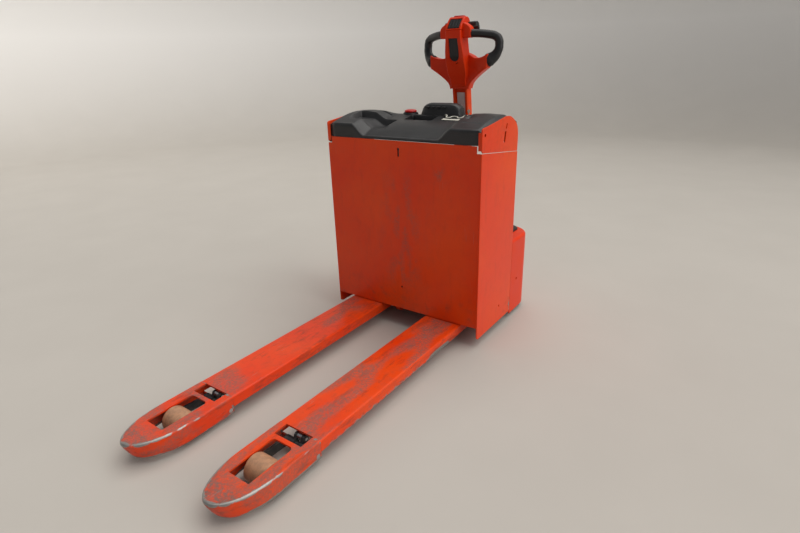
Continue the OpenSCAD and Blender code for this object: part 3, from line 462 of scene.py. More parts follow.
# %% Display glass
screen = start_material("display_glass", IOR=1.5, Roughness=0.08, Base_Color=linear("#0B0F12"))[0]
print("glass:", screen.name)

# %% [markdown]
# ### Floor paint
# A pale matt coat with a trace of mottling. It turns white with height, which only the backdrop has.

# %% Floor paint
floor_paint, floor_tree, floor_surface, floor_place = start_material("floor_pale", Roughness=0.85)
mottle = add(floor_tree, "TexNoise", {"Vector": floor_place, "Scale": per_metre(400), "Detail": 4.0})
ground = add(floor_tree, "Mix", {FACTOR: mottle, FIRST: linear("#B9B4AC"), SECOND: linear("#C1BCB4")},
             **COLOURS)
height = add(floor_tree, "SeparateXYZ", {"Vector": floor_place}).outputs["Z"]
height = add(floor_tree, "MapRange", {"Value": height, "From Max": 1.6})
paler = add(floor_tree, "Mix", {FACTOR: height, FIRST: ground, SECOND: linear("#F4F2EE")}, **COLOURS)
feed(floor_tree, floor_surface, {"Base Color": paler})
print("floor paint:", floor_paint.name)

# %% [markdown]
# ## Building meshes
# A mesh is a list of points and a list of faces that join them. Modelling by hand in Edit Mode would
# work, but sizes could not follow the frame, so every piece is worked out from numbers. The first
# tool turns points and faces into an object with its faces pointing outwards. The second one makes
# what the modifiers show the real mesh, so that later steps can build on it.

# %% Points, faces and modifiers
def piece_from(name, points, faces):
    mesh = bpy.data.meshes.new(name)
    mesh.from_pydata([tuple(p) for p in points], [], faces)
    mesh.update()
    piece = bpy.data.objects.new(name, mesh)
    bpy.context.scene.collection.objects.link(piece)
    work = bmesh.new()
    work.from_mesh(mesh)
    bmesh.ops.remove_doubles(work, verts=work.verts, dist=1e-6)
    bmesh.ops.recalc_face_normals(work, faces=work.faces)
    work.to_mesh(mesh)
    work.free()
    return piece


def bake_modifiers(piece):
    bpy.context.view_layer.update()
    graph = bpy.context.evaluated_depsgraph_get()
    mesh = bpy.data.meshes.new_from_object(piece.evaluated_get(graph))
    piece.modifiers.clear()
    piece.data = mesh
    return piece


print("points and faces ready")

# %% [markdown]
# ### Rounded edges
# Real edges are never knife-sharp, and the narrow highlight along them tells the eye how thick
# the material is. The bevel rounds every hard edge. Weighted normals then keep the flat parts flat
# and blend the light over the rounding.

# %% Rounded edges
def soften(piece, width_mm=1.5, segments=3, angle=32):
    """Rounds the hard edges of a piece."""
    work = bmesh.new()
    work.from_mesh(piece.data)
    bmesh.ops.remove_doubles(work, verts=work.verts, dist=2e-6)
    bmesh.ops.dissolve_limit(work, angle_limit=math.radians(0.5), verts=work.verts, edges=work.edges)
    work.to_mesh(piece.data)
    work.free()
    bevel = piece.modifiers.new("rounding", "BEVEL")
    bevel.width = width_mm * MM
    bevel.segments = segments
    bevel.limit_method = "ANGLE"
    bevel.angle_limit = math.radians(angle)
    bevel.use_clamp_overlap = True
    return bake_modifiers(piece)


def shade(piece, angle=40):
    piece.data.shade_smooth()
    piece.data.set_sharp_from_angle(angle=math.radians(angle))
    even = piece.modifiers.new("even_shading", "WEIGHTED_NORMAL")
    even.keep_sharp = True
    return bake_modifiers(piece)


print("rounding ready")

# %% [markdown]
# ### Lofts, lathes and bars
# Most parts are one section pulled along a path. "loft" skins a stack of rings, "lathe" turns a
# profile round an axis, and "tube" carries a round section along a line of points. The last two
# only place the rings and leave the skin to the loft.

# %% Lofts, lathes and bars
def loft(name, rings, closed_rings=True, caps=True):
    """Skins rings of equally many points."""
    count = len(rings[0])
    points = [p for ring in rings for p in ring]
    faces = []
    last = count if closed_rings else count - 1
    for r in range(len(rings) - 1):
        for i in range(last):
            j = (i + 1) % count
            faces.append((r * count + i, r * count + j, (r + 1) * count + j, (r + 1) * count + i))
    if caps:
        faces.append(tuple(range(count - 1, -1, -1)))
        faces.append(tuple((len(rings) - 1) * count + i for i in range(count)))
    return piece_from(name, points, faces)


def lathe(name, profile, centre, axis="X", steps=64):
    """Turns a closed profile of (along, radius) pairs round an axis through the centre."""
    rings = []
    for i in range(steps):
        turn = 2 * math.pi * i / steps
        c, s = math.cos(turn), math.sin(turn)
        place = {"X": lambda a, r: (a, r * c, r * s), "Y": lambda a, r: (r * c, a, r * s),
                 "Z": lambda a, r: (r * c, r * s, a)}[axis]
        rings.append([Vector(centre) + Vector(place(a, r)) for a, r in profile])
    rings.append(rings[0])
    return loft(name, rings, closed_rings=True, caps=False)


def tube(name, points, radius, sides=16, flat=1.0, normal=(0, 1, 0)):
    """A round or flattened bar along a list of points; radius and flat may be lists."""
    rings = []
    for i, p in enumerate(points):
        before, after = points[max(i - 1, 0)], points[min(i + 1, len(points) - 1)]
        along = (Vector(after) - Vector(before)).normalized()
        side = along.cross(Vector(normal)).normalized()
        up = side.cross(along).normalized()
        r = radius[i] if isinstance(radius, (list, tuple)) else radius
        squash = flat[i] if isinstance(flat, (list, tuple)) else flat
        rings.append([Vector(p) + side * r * math.cos(2 * math.pi * k / sides)
                      + up * r * squash * math.sin(2 * math.pi * k / sides) for k in range(sides)])
    return loft(name, rings)


print("loft, lathe and tube ready")

# %% [markdown]
# ### Plates
# Sheet parts are flat outlines with a thickness. The outline and its holes are filled with faces
# and pushed out to a solid. Rounded corners come from arcs, and "place" says where the flat drawing
# lies in space.

# %% Plates
def solid_from_outline(name, outline, place, thickness, holes=()):
    """A plate: outline and holes are lists of (u, v); place(u, v, t) gives a point in space."""
    work = bmesh.new()
    edges = []
    for loop in [outline, *holes]:
        verts = [work.verts.new(place(u, v, 0.0)) for u, v in loop]
        edges += [work.edges.new((verts[i], verts[(i + 1) % len(verts)])) for i in range(len(verts))]
    bmesh.ops.triangle_fill(work, edges=edges, use_beauty=True, use_dissolve=True)
    result = bmesh.ops.extrude_face_region(work, geom=work.faces[:])
    push = Vector(place(0, 0, thickness)) - Vector(place(0, 0, 0))
    moved = [g for g in result["geom"] if isinstance(g, bmesh.types.BMVert)]
    bmesh.ops.translate(work, verts=moved, vec=push)
    bmesh.ops.recalc_face_normals(work, faces=work.faces)
    mesh = bpy.data.meshes.new(name)
    work.to_mesh(mesh)
    work.free()
    piece = bpy.data.objects.new(name, mesh)
    bpy.context.scene.collection.objects.link(piece)
    return piece


def arc(cx, cy, radius, start, end, steps=8, radius_y=None):
    ry = radius if radius_y is None else radius_y
    return [(cx + radius * math.cos(math.radians(start + (end - start) * i / steps)),
             cy + ry * math.sin(math.radians(start + (end - start) * i / steps))) for i in range(steps + 1)]


def rounded_rect(x0, x1, y0, y1, radius, steps=5):
    return (arc(x1 - radius, y1 - radius, radius, 0, 90, steps)
            + arc(x0 + radius, y1 - radius, radius, 90, 180, steps)
            + arc(x0 + radius, y0 + radius, radius, 180, 270, steps)
            + arc(x1 - radius, y0 + radius, radius, 270, 360, steps))


print("a rounded rectangle has", len(rounded_rect(0, 1, 0, 1, 0.2)), "points")

# %% [markdown]
# ### Cuts and joins
# Windows, bores and pockets are cut with boolean modifiers, as a mill would cut them: a tool is
# built, subtracted and thrown away. Parts that are glued or welded in real life are joined to one
# piece.

# %% Cuts and joins
def cut(piece, *tools):
    """Subtracts tools from a piece and removes them."""
    for tool in tools:
        modifier = piece.modifiers.new("cut", "BOOLEAN")
        modifier.operation = "DIFFERENCE"
        modifier.object = tool
        modifier.solver = "EXACT"
        bake_modifiers(piece)
        bpy.data.objects.remove(tool)
    return piece


def join(name, pieces):
    work = bmesh.new()
    for piece in pieces:
        work.from_mesh(piece.data)
        bpy.data.objects.remove(piece)
    mesh = bpy.data.meshes.new(name)
    work.to_mesh(mesh)
    work.free()
    whole = bpy.data.objects.new(name, mesh)
    bpy.context.scene.collection.objects.link(whole)
    return whole


print("cuts and joins ready")

# %% [markdown]
# ### Wear values
# Worn paint follows the shape, so each point of a mesh stores how worn it is. A rule gives the value
# for a place, long edges are split first to make room for it, and the material reads it back.

# %% Wear values
def densify(piece, longest):
    """Splits long edges so that values painted on points have room to change."""
    work = bmesh.new()
    work.from_mesh(piece.data)
    for _ in range(7):
        bmesh.ops.triangulate(work, faces=work.faces[:])
        long_edges = [e for e in work.edges if e.calc_length() > longest]
        if not long_edges:
            break
        bmesh.ops.subdivide_edges(work, edges=long_edges, cuts=1)
    bmesh.ops.triangulate(work, faces=work.faces[:])
    work.to_mesh(piece.data)
    work.free()
    return piece


def paint_wear(piece, rule, layer_name="wear"):
    """Writes a value for every point: rule(point) gives 0 to 1."""
    values = [max(0.0, min(1.0, rule(v.co))) for v in piece.data.vertices]
    layer = piece.data.attributes.get(layer_name) or piece.data.attributes.new(layer_name, "FLOAT", "POINT")
    layer.data.foreach_set("value", values)
    return piece


def smooth_step(a, b, x):
    """0 before a, 1 beyond b, and a soft rise between; with a above b it falls."""
    t = max(0.0, min(1.0, (x - a) / (b - a)))
    return t * t * (3 - 2 * t)


print("half way up a soft rise:", smooth_step(0, 10, 5))

# %% [markdown]
# ### Finishing a piece
# Every piece gets its finish, rides with a body of the frame and stands for one or more plain CAD
# nodes, which are then hidden. A piece with no node of its own only rides. "from_cad" starts from
# the node's own shape where the real part looks like it.

# %% Finishing a piece
def settle(piece, material, slot, *nodes, body=None, angle=40):
    """Gives a piece its finish and lets it ride with the body of the nodes that it stands for."""
    shade(piece, angle)
    piece.data.materials.clear()
    piece.data.materials.append(material)
    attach(piece, body or frame["nodes"][nodes[0]]["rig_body"])
    if nodes:
        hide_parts(*nodes)
    return piece


def from_cad(node, name, width_mm=1.5, segments=3, angle=32):
    """A rounded copy of a CAD node."""
    piece = bpy.data.objects.new(name, frame["nodes"][node].data.copy())
    bpy.context.scene.collection.objects.link(piece)
    return soften(piece, width_mm, segments, angle)


print("finishing tools ready")

# %% [markdown]
# ## Floor and backdrop
# The floor is one pale sheet. Far behind the truck it curves up into a plain wall, so no hard
# horizon crosses the view. Neither belongs to the truck.

# %% Floor and backdrop
FLOOR_HALF = 20
WALL_BACK = 9.0
WALL_TOP = 7.0
CURVE = 2.5
UNDER_TRUCK = 0.0005
corners = [(-FLOOR_HALF, -FLOOR_HALF), (FLOOR_HALF, -FLOOR_HALF),
           (FLOOR_HALF, FLOOR_HALF), (-FLOOR_HALF, FLOOR_HALF)]
floor = piece_from("floor", [(x, y, -UNDER_TRUCK) for x, y in corners], [(0, 1, 2, 3)])
floor.data.materials.append(floor_paint)
rise = [(WALL_BACK - CURVE + CURVE * math.sin(a), CURVE * (1 - math.cos(a)))
        for a in (math.radians(90 * k / 24) for k in range(25))]
rise.append((WALL_BACK, WALL_TOP))
wall_rings = []
for k in range(61):
    turn = math.radians(-115 + 160 * k / 60)
    wall_rings.append([(r * math.sin(turn), r * math.cos(turn), z) for r, z in rise])
wall = loft("backdrop", wall_rings, closed_rings=False, caps=False)
wall.data.shade_smooth()
wall.data.materials.append(floor_paint)
print("floor and backdrop laid")

# %% [markdown]
# ## Places on the truck
# Drawings of such a truck are read in millimetres from a few faces. "at" turns such a place into a
# point in space, and "size_mm" reads the box of a node, so every size below comes from the frame.

# %% Places on the truck
def at(x, y, z):
    """A point from millimetres: x from the middle, y from the fork face, z from the floor."""
    return Vector((x * MM, face_y + y * MM, z * MM))


def size_mm(node):
    low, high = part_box(node)
    return (low.x / MM, high.x / MM, (low.y - face_y) / MM, (high.y - face_y) / MM, low.z / MM, high.z / MM)


def blotch(point, across_mm, seed=0.0):
    """Smooth random value from 0 to 1 that changes over the given distance."""
    shift = Vector((seed, seed * 0.7, 3.1))
    from_zero = mathutils_noise.noise(Vector(point) / (across_mm * MM) + shift)
    return max(0.0, min(1.0, 0.5 + from_zero))


fork_inner, fork_outer, fork_start, fork_end, leg_bottom, fork_top = size_mm("fork_right")
fork_middle = (fork_inner + fork_outer) / 2
fork_width = fork_outer - fork_inner
print("fork legs run from", round(fork_start), "to", round(fork_end), "mm, width", round(fork_width))

# %% [markdown]
# ## Forks
# Each fork is a leg pressed from 6 mm sheet into a channel that is open below, with a cast nose
# welded on. The leg is one cross-section pulled along a line, so a loft of many equal sections
# suits it. An extruded outline would do as well, but the many sections give the paint wear room
# to change along the leg.

# %% Section of a fork leg
SHEET = 6
TOP_ROUND = 8


def leg_section(sheet, step=14):
    half = fork_width / 2
    outer = [(-half, leg_bottom)]
    outer += [(-half, leg_bottom + (fork_top - TOP_ROUND - leg_bottom) * k / 3) for k in (1, 2)]
    outer += [(x, z) for x, z in arc(-half + TOP_ROUND, fork_top - TOP_ROUND, TOP_ROUND, 180, 90, 5)]
    flat = fork_width - 2 * TOP_ROUND
    across = int(flat / step)
    outer += [(-half + TOP_ROUND + flat * k / across, fork_top) for k in range(1, across)]
    right = [(-x, z) for x, z in outer[:8]][::-1]
    inner = [(half - sheet, leg_bottom), (half - sheet, fork_top - sheet - 3),
             (half - sheet - 3, fork_top - sheet)]
    inner += [(-x, z) for x, z in inner[::-1]]
    return outer + right + inner


print("the section has", len(leg_section(SHEET)), "points")

# %% [markdown]
# ### Wear on the legs
# Pallets scrape the lower outer edge most and the tops in long tracks. The place where loads come
# to rest, close to the box, is rubbed dull. The right fork is the more worn one.

# %% Wear on the legs
def leg_wear(side):
    outside = side * (fork_middle + fork_width / 2) * MM

    def rule(p):
        low = smooth_step(68, 52, p.z / MM)
        y = (p.y - face_y) / MM
        along = smooth_step(fork_start - 5, fork_start + 40, y) * smooth_step(-20, -130, y)
        streak = smooth_step(0.40, 0.62, blotch((p.x, p.y * 0.25, p.z), 60, side))
        near = 1.0 if abs(p.x - outside) < 0.006 else 0.35
        scrape = low * along * near * (0.62 + 0.5 * streak) * (1.0 if side > 0 else 0.6)
        off_side = abs(abs(p.x / MM) - fork_middle - fork_width / 2 + 2)
        arris = smooth_step(3.2, 0.0, off_side + abs(p.z / MM - fork_top + 2))
        return max(scrape, arris * 0.5 * streak, 0.08)
    return rule


def leg_scuff(side):
    def rule(p):
        y = (p.y - face_y) / MM
        x = abs(p.x / MM) - fork_middle
        top = smooth_step(fork_top - 3, fork_top - 0.5, p.z / MM)
        heel = math.exp(-((x + 8) / 38) ** 2 - ((y + 92) / 44) ** 2) * (1.0 if side > 0 else 0.65)
        track = smooth_step(0.50, 0.72, blotch((p.x, p.y * 0.35, 0), 80, 2 + side))
        return top * max(heel, track * 0.75)
    return rule


print("leg wear from", leg_wear(1)(at(fork_outer, fork_start, leg_bottom)), "at the front")

# %% [markdown]
# ### Both legs
# One loop builds the left and the right leg, since they are mirror images.

# %% Both legs
legs = []
for side, node in ((-1, "fork_left"), (1, "fork_right")):
    stations = int((fork_end - fork_start) / 13)
    rings = [[at(side * fork_middle + x, fork_start + (fork_end - fork_start) * k / stations, z)
              for x, z in leg_section(SHEET)] for k in range(stations + 1)]
    leg = loft(node.replace("fork", "fork_leg"), rings)
    paint_wear(leg, leg_wear(side))
    paint_wear(leg, leg_scuff(side), "scuff")
    legs.append(settle(leg, enamel_forks, "lacquer_red", node, angle=50))
print("legs:", [len(leg.data.polygons) for leg in legs], "faces")

# %% [markdown]
# ### Fork noses
# A nose slides into a pallet first, so its outline runs out in half an ellipse and its underside
# rises towards the tip. The solid is a loft of that outline at rising heights, with the upper rim
# rounded over. A smaller loft hollows it from below and two windows are cut for the roller and its
# arm. A subdivided cage would be harder to keep to the true outline.

# %% Shape of a nose
nose_tip, seam, nose_low, nose_high = size_mm("fork_nose_right")[2:]
ROUND_LENGTH = 170
RIM = 7
roller_box = size_mm("load_roller_right")
roller_middle = (roller_box[2] + roller_box[3]) / 2
window_half = (roller_box[1] - roller_box[0]) / 2 + 2
arm_pin = (size_mm("arm_pivot_pins")[2] + size_mm("arm_pivot_pins")[3]) / 2


def nose_ring(x_middle, inset, reach_cut, z, back=0.0, steps=46):
    half = fork_width / 2 - inset
    tip = nose_tip + inset + reach_cut
    start = nose_tip + ROUND_LENGTH
    curve = [at(x_middle + half * math.cos(a), start - (start - tip) * math.sin(a), z)
             for a in (math.pi * k / steps for k in range(steps + 1))]
    straight = [start + (seam + back - start) * k / 8 for k in range(8, 0, -1)]
    right = [at(x_middle + half, y, z) for y in straight]
    left = [at(x_middle - half, y, z) for y in straight[::-1]]
    return right + curve + left


def nose_solid(name, x_middle, wall, low, high, back):
    levels = [(3 + wall, 24, low), (2.2 + wall, 21.5, low + 3)]
    levels += [(2.2 * (1 - t) + wall, 21.5 * (1 - t) ** 1.25, low + 3 + (high - RIM - low - 3) * t)
               for t in (0.25, 0.5, 0.75, 1)]
    levels += [(wall + RIM * (1 - math.cos(turn)) * 0.8, 0, high - RIM + RIM * math.sin(turn))
               for turn in map(math.radians, (18, 36, 54, 72, 90))]
    return loft(name, [nose_ring(x_middle, inset, cut_back, z, back) for inset, cut_back, z in levels])


def window_tool(x_middle, half, y0, y1, round_back):
    outline = [(x_middle + half, y0), (x_middle + half, y1 - round_back)]
    outline += arc(x_middle + half - round_back, y1 - round_back, round_back, 0, 90, 6)
    outline += arc(x_middle - half + round_back, y1 - round_back, round_back, 90, 180, 6)
    outline += [(x_middle - half, y0)]
    return solid_from_outline("window", outline, lambda u, v, t: at(u, v, nose_low - 4 + t), nose_high + 8)


print("nose from", round(nose_tip), "to", round(seam), "mm")

# %% [markdown]
# ### Wear and painted shade on the noses
# The rim, the keel and the weld are where pallets rub the paint off, down to bare steel. The flat
# top is dulled in patches. The flanks get painted shade: greyish patches that darken the sides as
# their shadow would.

# %% Wear and painted shade on the noses
start_y = nose_tip + ROUND_LENGTH


def nose_wear(side):
    def rule(p):
        y = (p.y - face_y) / MM
        x = abs(p.x / MM) - fork_middle
        z = p.z / MM
        rim = smooth_step(9, 1.5, abs(z - nose_high + 3.5))
        spread = max(0.0, min(1.0, (start_y - y) / ROUND_LENGTH))
        off_line = abs(math.hypot(x / (fork_width / 2), spread) - 0.965) * fork_width / 2
        off_flank = fork_width / 2 - abs(x) - 1
        edge = smooth_step(6.5, 1.0, off_line) if spread > 0 else smooth_step(5, 0.5, off_flank)
        front = 0.5 + 0.5 * smooth_step(start_y + 90, nose_tip + 50, y)
        worn = rim * edge * front * (0.55 + 0.75 * blotch(p, 26, side))
        streaks = blotch((p.x, p.y * 0.4, p.z), 42, 5 + side)
        keel = smooth_step(nose_low + 16, nose_low + 3, z) * (0.5 + 0.8 * streaks)
        weld = smooth_step(12, 2, abs(y - seam + 2)) * smooth_step(0.45, 0.7, blotch(p, 18, 9)) * 0.8
        return max(worn, keel * 0.85, weld, 0.1)
    return rule


def nose_scuff_and_shade(side):
    def rule(p):
        y = (p.y - face_y) / MM
        x = abs(p.x / MM) - fork_middle
        top = smooth_step(nose_high - 4, nose_high - 0.5, p.z / MM)
        tip = smooth_step(nose_tip + 118, nose_tip + 40, y) * (0.62 + 0.6 * blotch(p, 30, 3 + side))
        beside = 0.7 * smooth_step(0.42, 0.66, blotch((p.x, p.y * 0.4, 0), 46, 6 + side))
        # Painted shade: below the top the flanks are darkened in patches, as their shadow would darken them
        flank_shade = 0.55 * smooth_step(0.40, 0.70, blotch((p.x, p.y * 0.4, p.z), 38, 1 + side))
        front = smooth_step(nose_tip + 60, nose_tip - 5, y) * 0.5 * smooth_step(55, 84, p.z / MM)
        return max(top * tip * smooth_step(84, 60, abs(x)), top * beside, (1 - top) * flank_shade, front)
    return rule


print("the round part of a nose starts at", round(start_y), "mm")

# %% [markdown]
# ### Both noses
# The order matters here: hollow and windows are cut first, then the edges are rounded, and the
# mesh is split finely last, so that the paint can chip along the rounded rim.

# %% Both noses
pin_low, pin_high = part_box("arm_pivot_pins")
pin_y, pin_z = (pin_low.y + pin_high.y) / 2, (pin_low.z + pin_high.z) / 2
for side, node in ((-1, "fork_nose_left"), (1, "fork_nose_right")):
    middle = side * fork_middle
    nose = nose_solid(node.replace("fork_nose", "nose"), middle, 0, nose_low, nose_high, 0)
    hollow = nose_solid("hollow", middle, SHEET, nose_low - 1, nose_high - SHEET, -SHEET)
    back_open = solid_from_outline("back", [(middle - fork_width / 2 + SHEET, seam - 12),
                                            (middle + fork_width / 2 - SHEET, seam - 12),
                                            (middle + fork_width / 2 - SHEET, seam + 5),
                                            (middle - fork_width / 2 + SHEET, seam + 5)],
                                   lambda u, v, t: at(u, v, leg_bottom + t), nose_high - SHEET - leg_bottom)
    bore_ends = [Vector((middle * MM + reach, pin_y, pin_z)) for reach in (-0.12, 0.12)]
    bore = tube("bore", bore_ends, 0.0081, 24, normal=(0, 0, 1))
    roller_window = window_tool(middle, window_half, roller_middle - 82, roller_middle + 78, 14)
    arm_window = window_tool(middle, 55, arm_pin - 38, seam + 4, 3)
    cut(nose, hollow, back_open, roller_window, arm_window, bore)
    soften(nose, 1.6, 3, 34)
    densify(nose, 0.011)
    paint_wear(nose, nose_wear(side))
    paint_wear(nose, nose_scuff_and_shade(side), "scuff")
    settle(nose, enamel_forks, "lacquer_red", node, angle=44)
    print(nose.name, len(nose.data.polygons), "faces")

# %% [markdown]
# ## Battery box: wear
# The front panel and the side plates are flat sheet. Paint goes first at the cut edges and at the
# lower rear corner, where the truck bumps into things. The middle of the panel carries long upright
# smears where loads have leaned against it.

# %% Wear on the plates
def edge_distance(x, z, box):
    return min(x - box[0], box[1] - x, z - box[2], box[3] - z)


def panel_wear(p):
    x, z = p.x / MM, p.z / MM
    edge = smooth_step(9, 1, edge_distance(x, z, (-355, 355, 90, 808)))
    rubbed = smooth_step(0.52, 0.72, blotch(p, 55, 1))
    low = smooth_step(260, 100, z) * smooth_step(0.5, 0.7, blotch(p, 22, 4)) * 0.5
    return max(edge * rubbed * 0.15, low, 0.05)


def side_wear(side):
    rear = size_mm("side_plate_right")[3]
    bottom = size_mm("side_plate_right")[4]

    def rule(p):
        y, z = (p.y - face_y) / MM, p.z / MM
        edge = smooth_step(8, 1, edge_distance(y, z, (0, rear, bottom, 2000)))
        rubbed = smooth_step(0.42, 0.68, blotch(p, 34, 2 + side))
        near_corner = smooth_step(95, 15, math.hypot(y - rear + 10, z - bottom - 18))
        corner = near_corner * smooth_step(0.42, 0.66, blotch(p, 14, 7))
        return max(edge * rubbed * 0.3 * smooth_step(400, 200, z), corner * 0.75, 0.04)
    return rule


def panel_scuff(p):
    """Long upright smears where loads have leaned against the middle of the panel."""
    x, z = p.x / MM, p.z / MM
    smear = smooth_step(0.50, 0.74, blotch((p.x, p.y, p.z * 0.22), 26, 11))
    middle = math.exp(-((x - 10) / 95) ** 2) * smooth_step(740, 560, z) * smooth_step(150, 260, z)
    right = math.exp(-((x - 190) / 24) ** 2 - ((z - 690) / 26) ** 2)
    return 0.38 * smear * middle + 0.5 * right * smooth_step(0.4, 0.6, blotch(p, 12, 2))


print("panel wear at the foot:", round(panel_wear(at(0, 0, 100)), 2))

# %% [markdown]
# ### Front panel
# The panel is one sheet with a notch at both upper corners, where the cheeks of the hood come
# down, and a keyhole slot that the hood lock hooks into. It is an outline with holes, pushed out to
# 4 mm. A dark plate sits behind the keyhole, as the lock does.

# %% Front panel
NOTCH_Z = 781
panel = size_mm("front_panel")
KEY_Z = panel[5] - 32
keyhole = [(-4, KEY_Z - 28), (4, KEY_Z - 28)] + arc(0, KEY_Z, 6, -48, 228, 16)
lower_hole = arc(0, 193, 4.5, 0, 345, 23)
shoulder = size_mm("hood_side_right")[0]
panel_outline = [(panel[0], panel[4]), (panel[1], panel[4]), (panel[1], NOTCH_Z), (shoulder, NOTCH_Z),
                 (shoulder, panel[5]), (-shoulder, panel[5]), (-shoulder, NOTCH_Z), (panel[0], NOTCH_Z)]
front = solid_from_outline("front_sheet", panel_outline, lambda u, v, t: at(u, t, v), 4,
                           [keyhole, lower_hole])
soften(front, 1.2, 3)
densify(front, 0.030)
paint_wear(front, panel_wear)
paint_wear(front, panel_scuff, "scuff")
settle(front, enamel_body, "lacquer_red", "front_panel")
lock = solid_from_outline("lock_plate", rounded_rect(-17, 17, KEY_Z - 42, KEY_Z + 16, 4),
                          lambda u, v, t: at(u, 5 + t, v), 2)
settle(soften(lock, 0.5, 2), frame_dark, "lacquer_dark", body="fork_carriage")
print("front panel:", len(front.data.polygons), "faces")

# %% [markdown]
# ### Side plates
# The side plates are 5 mm sheet with a sloping top edge that follows the seam of the hood. Their
# lower corners are cut off a little, so that they do not catch on a ramp.

# %% Side plates
for side, node in ((-1, "side_plate_left"), (1, "side_plate_right")):
    plate_box = size_mm(node)
    inner_x = min(abs(plate_box[0]), abs(plate_box[1]))
    rear, low, top = plate_box[3], plate_box[4], plate_box[5]
    outline = [(0, low + 10), (4, low + 4), (12, low), (rear - 8, low), (rear - 2, low + 3), (rear, low + 9),
               (rear, top - 35), (0, top)]
    bolt_hole = arc(203, 110, 5, 0, 345, 23)
    plate = solid_from_outline(node + "_sheet", outline, lambda u, v, t: at(side * (inner_x + t), u, v), 5,
                               [bolt_hole])
    soften(plate, 1.6, 3)
    densify(plate, 0.026)
    paint_wear(plate, side_wear(side))
    settle(plate, enamel_body, "lacquer_red", node)
    print(plate.name, "runs back to", round(rear), "mm")

# %% [markdown]
# ### Cheeks of the hood
# The red cheeks close the hood at its sides. Their upper edge rises from a knuckle at the front to
# a long crest. Behind it they drop to the seam over the side plates. The outline is drawn with the
# few points that this curve needs, and the rounding smooths it.

# %% Outline of a cheek
crest = size_mm("hood_side_right")[5]
SEAM = 782
CHEEK_TOP = [(314, 784), (313, 815), (309, 834), (302, 848), (290, 861), (275, 871.5), (258, 880.5),
             (240, 887.5), (225, 890.8), (210, 892), (195, 891.6), (175, 889), (150, 885.4), (100, 878.5),
             (50, 872.5), (12, 868.8), (4, 866.5), (1, 863), (0, 858)]


def cheek_outline():
    lower = [(0, SEAM + 9), (9, SEAM + 1), (size_mm("hood_side_right")[3] - 2, SEAM - 33)]
    return lower + CHEEK_TOP


print("the cheek has", len(cheek_outline()), "corners")

# %% [markdown]
# ### Both cheeks
# A cheek has a screw hole, a long slot and a short one, and its front edge is turned inwards. The
# turned edge is a second small plate, joined to the first.

# %% Both cheeks
def cheek_wear(p):
    return 0.04 + 0.2 * smooth_step(0.5, 0.7, blotch(p, 24, 6))


for side, node in ((-1, "hood_side_left"), (1, "hood_side_right")):
    box = size_mm(node)
    outer = max(abs(box[0]), abs(box[1]))
    slot = arc(195, crest - 56, 6.5, 20, 160, 7) + arc(187, crest - 86, 6.5, 200, 340, 7)
    notch = arc(205, crest - 27, 4.4, 10, 170, 5) + arc(200, crest - 38, 4.4, 190, 350, 5)
    screw_hole = arc(24, crest - 46, 6, 0, 345, 23)
    cheek = solid_from_outline(node + "_cheek", cheek_outline(),
                               lambda u, v, t: at(side * (outer - 5 + t), u, v), 5, [screw_hole, slot, notch])
    strip = [(outer - 15.5, SEAM + 9), (outer - 1, SEAM + 9),
             (outer - 1, crest - 35), (outer - 15.5, crest - 35)]
    turned = solid_from_outline("turned_edge", strip, lambda u, v, t: at(side * u, 0.2 + t, v), 3.6)
    soften(cheek, 1.8, 4)
    soften(turned, 1.0, 2)
    cheek = join(node + "_cheek", [cheek, turned])
    densify(cheek, 0.018)
    paint_wear(cheek, cheek_wear)
    settle(cheek, enamel_body, "lacquer_red", node)
print("cheeks done, crest at", round(crest), "mm")

# %% [markdown]
# ## Hood: main heights
# The black hood is one deep moulding: a tray in the middle and raised shoulders at both sides. It
# could be sculpted, but its top can be seen as a height field, in which a function gives the height
# over the floor at any place. The tray follows a short list of heights from front to rear, and the
# shoulders follow a quarter of a sine wave.

# %% Main heights of the hood
hood_box = size_mm("hood_shell")
HOOD_HALF = hood_box[1]
HOOD_REAR = hood_box[3]
LIP = 808.6
TRAY = [(0, 813.4), (30, 828), (60, 841.5), (90, 853), (120, 861), (150, 866), (175, 869), (200, 873.5),
        (225, 879.5), (245, 882), (270, 880.5), (300, 875), (320, 870)]


def between(table, x):
    for (x0, y0), (x1, y1) in zip(table, table[1:]):
        if x <= x1:
            return y0 + (y1 - y0) * max(0.0, x - x0) / (x1 - x0)
    return table[-1][1]


def tray_height(y):
    return sum(between(TRAY, y + d) for d in (-12, -6, 0, 6, 12)) / 5 if y > 14 else between(TRAY, y)


def shoulder_height(y):
    rise = LIP + 56 + 31 * math.sin(math.radians(90 * max(0.0, min(1.0, (y - 15) / 165))))
    return rise - 24 * smooth_step(215, 300, y)


print("tray from", tray_height(0), "to", round(tray_height(245)), "mm")

# %% [markdown]
# ### Hood: recess, pockets and dimples
# Details are added to the main heights or taken off. A bell curve gives a soft swell or dimple, and
# a bowl gives a pocket with steep sides, such as the hand recess before the console.

# %% Details of the hood
def gauss(x, y, cx, cy, wx, wy):
    return math.exp(-((x - cx) / wx) ** 2 - ((y - cy) / wy) ** 2)


def bowl(x, y, x0, x1, y0, y1, depth, blend):
    """Depth of a pocket with steep rounded sides."""
    inside = min(x - x0, x1 - x, y - y0, y1 - y)
    return depth * smooth_step(-blend / 2, blend / 2, inside)


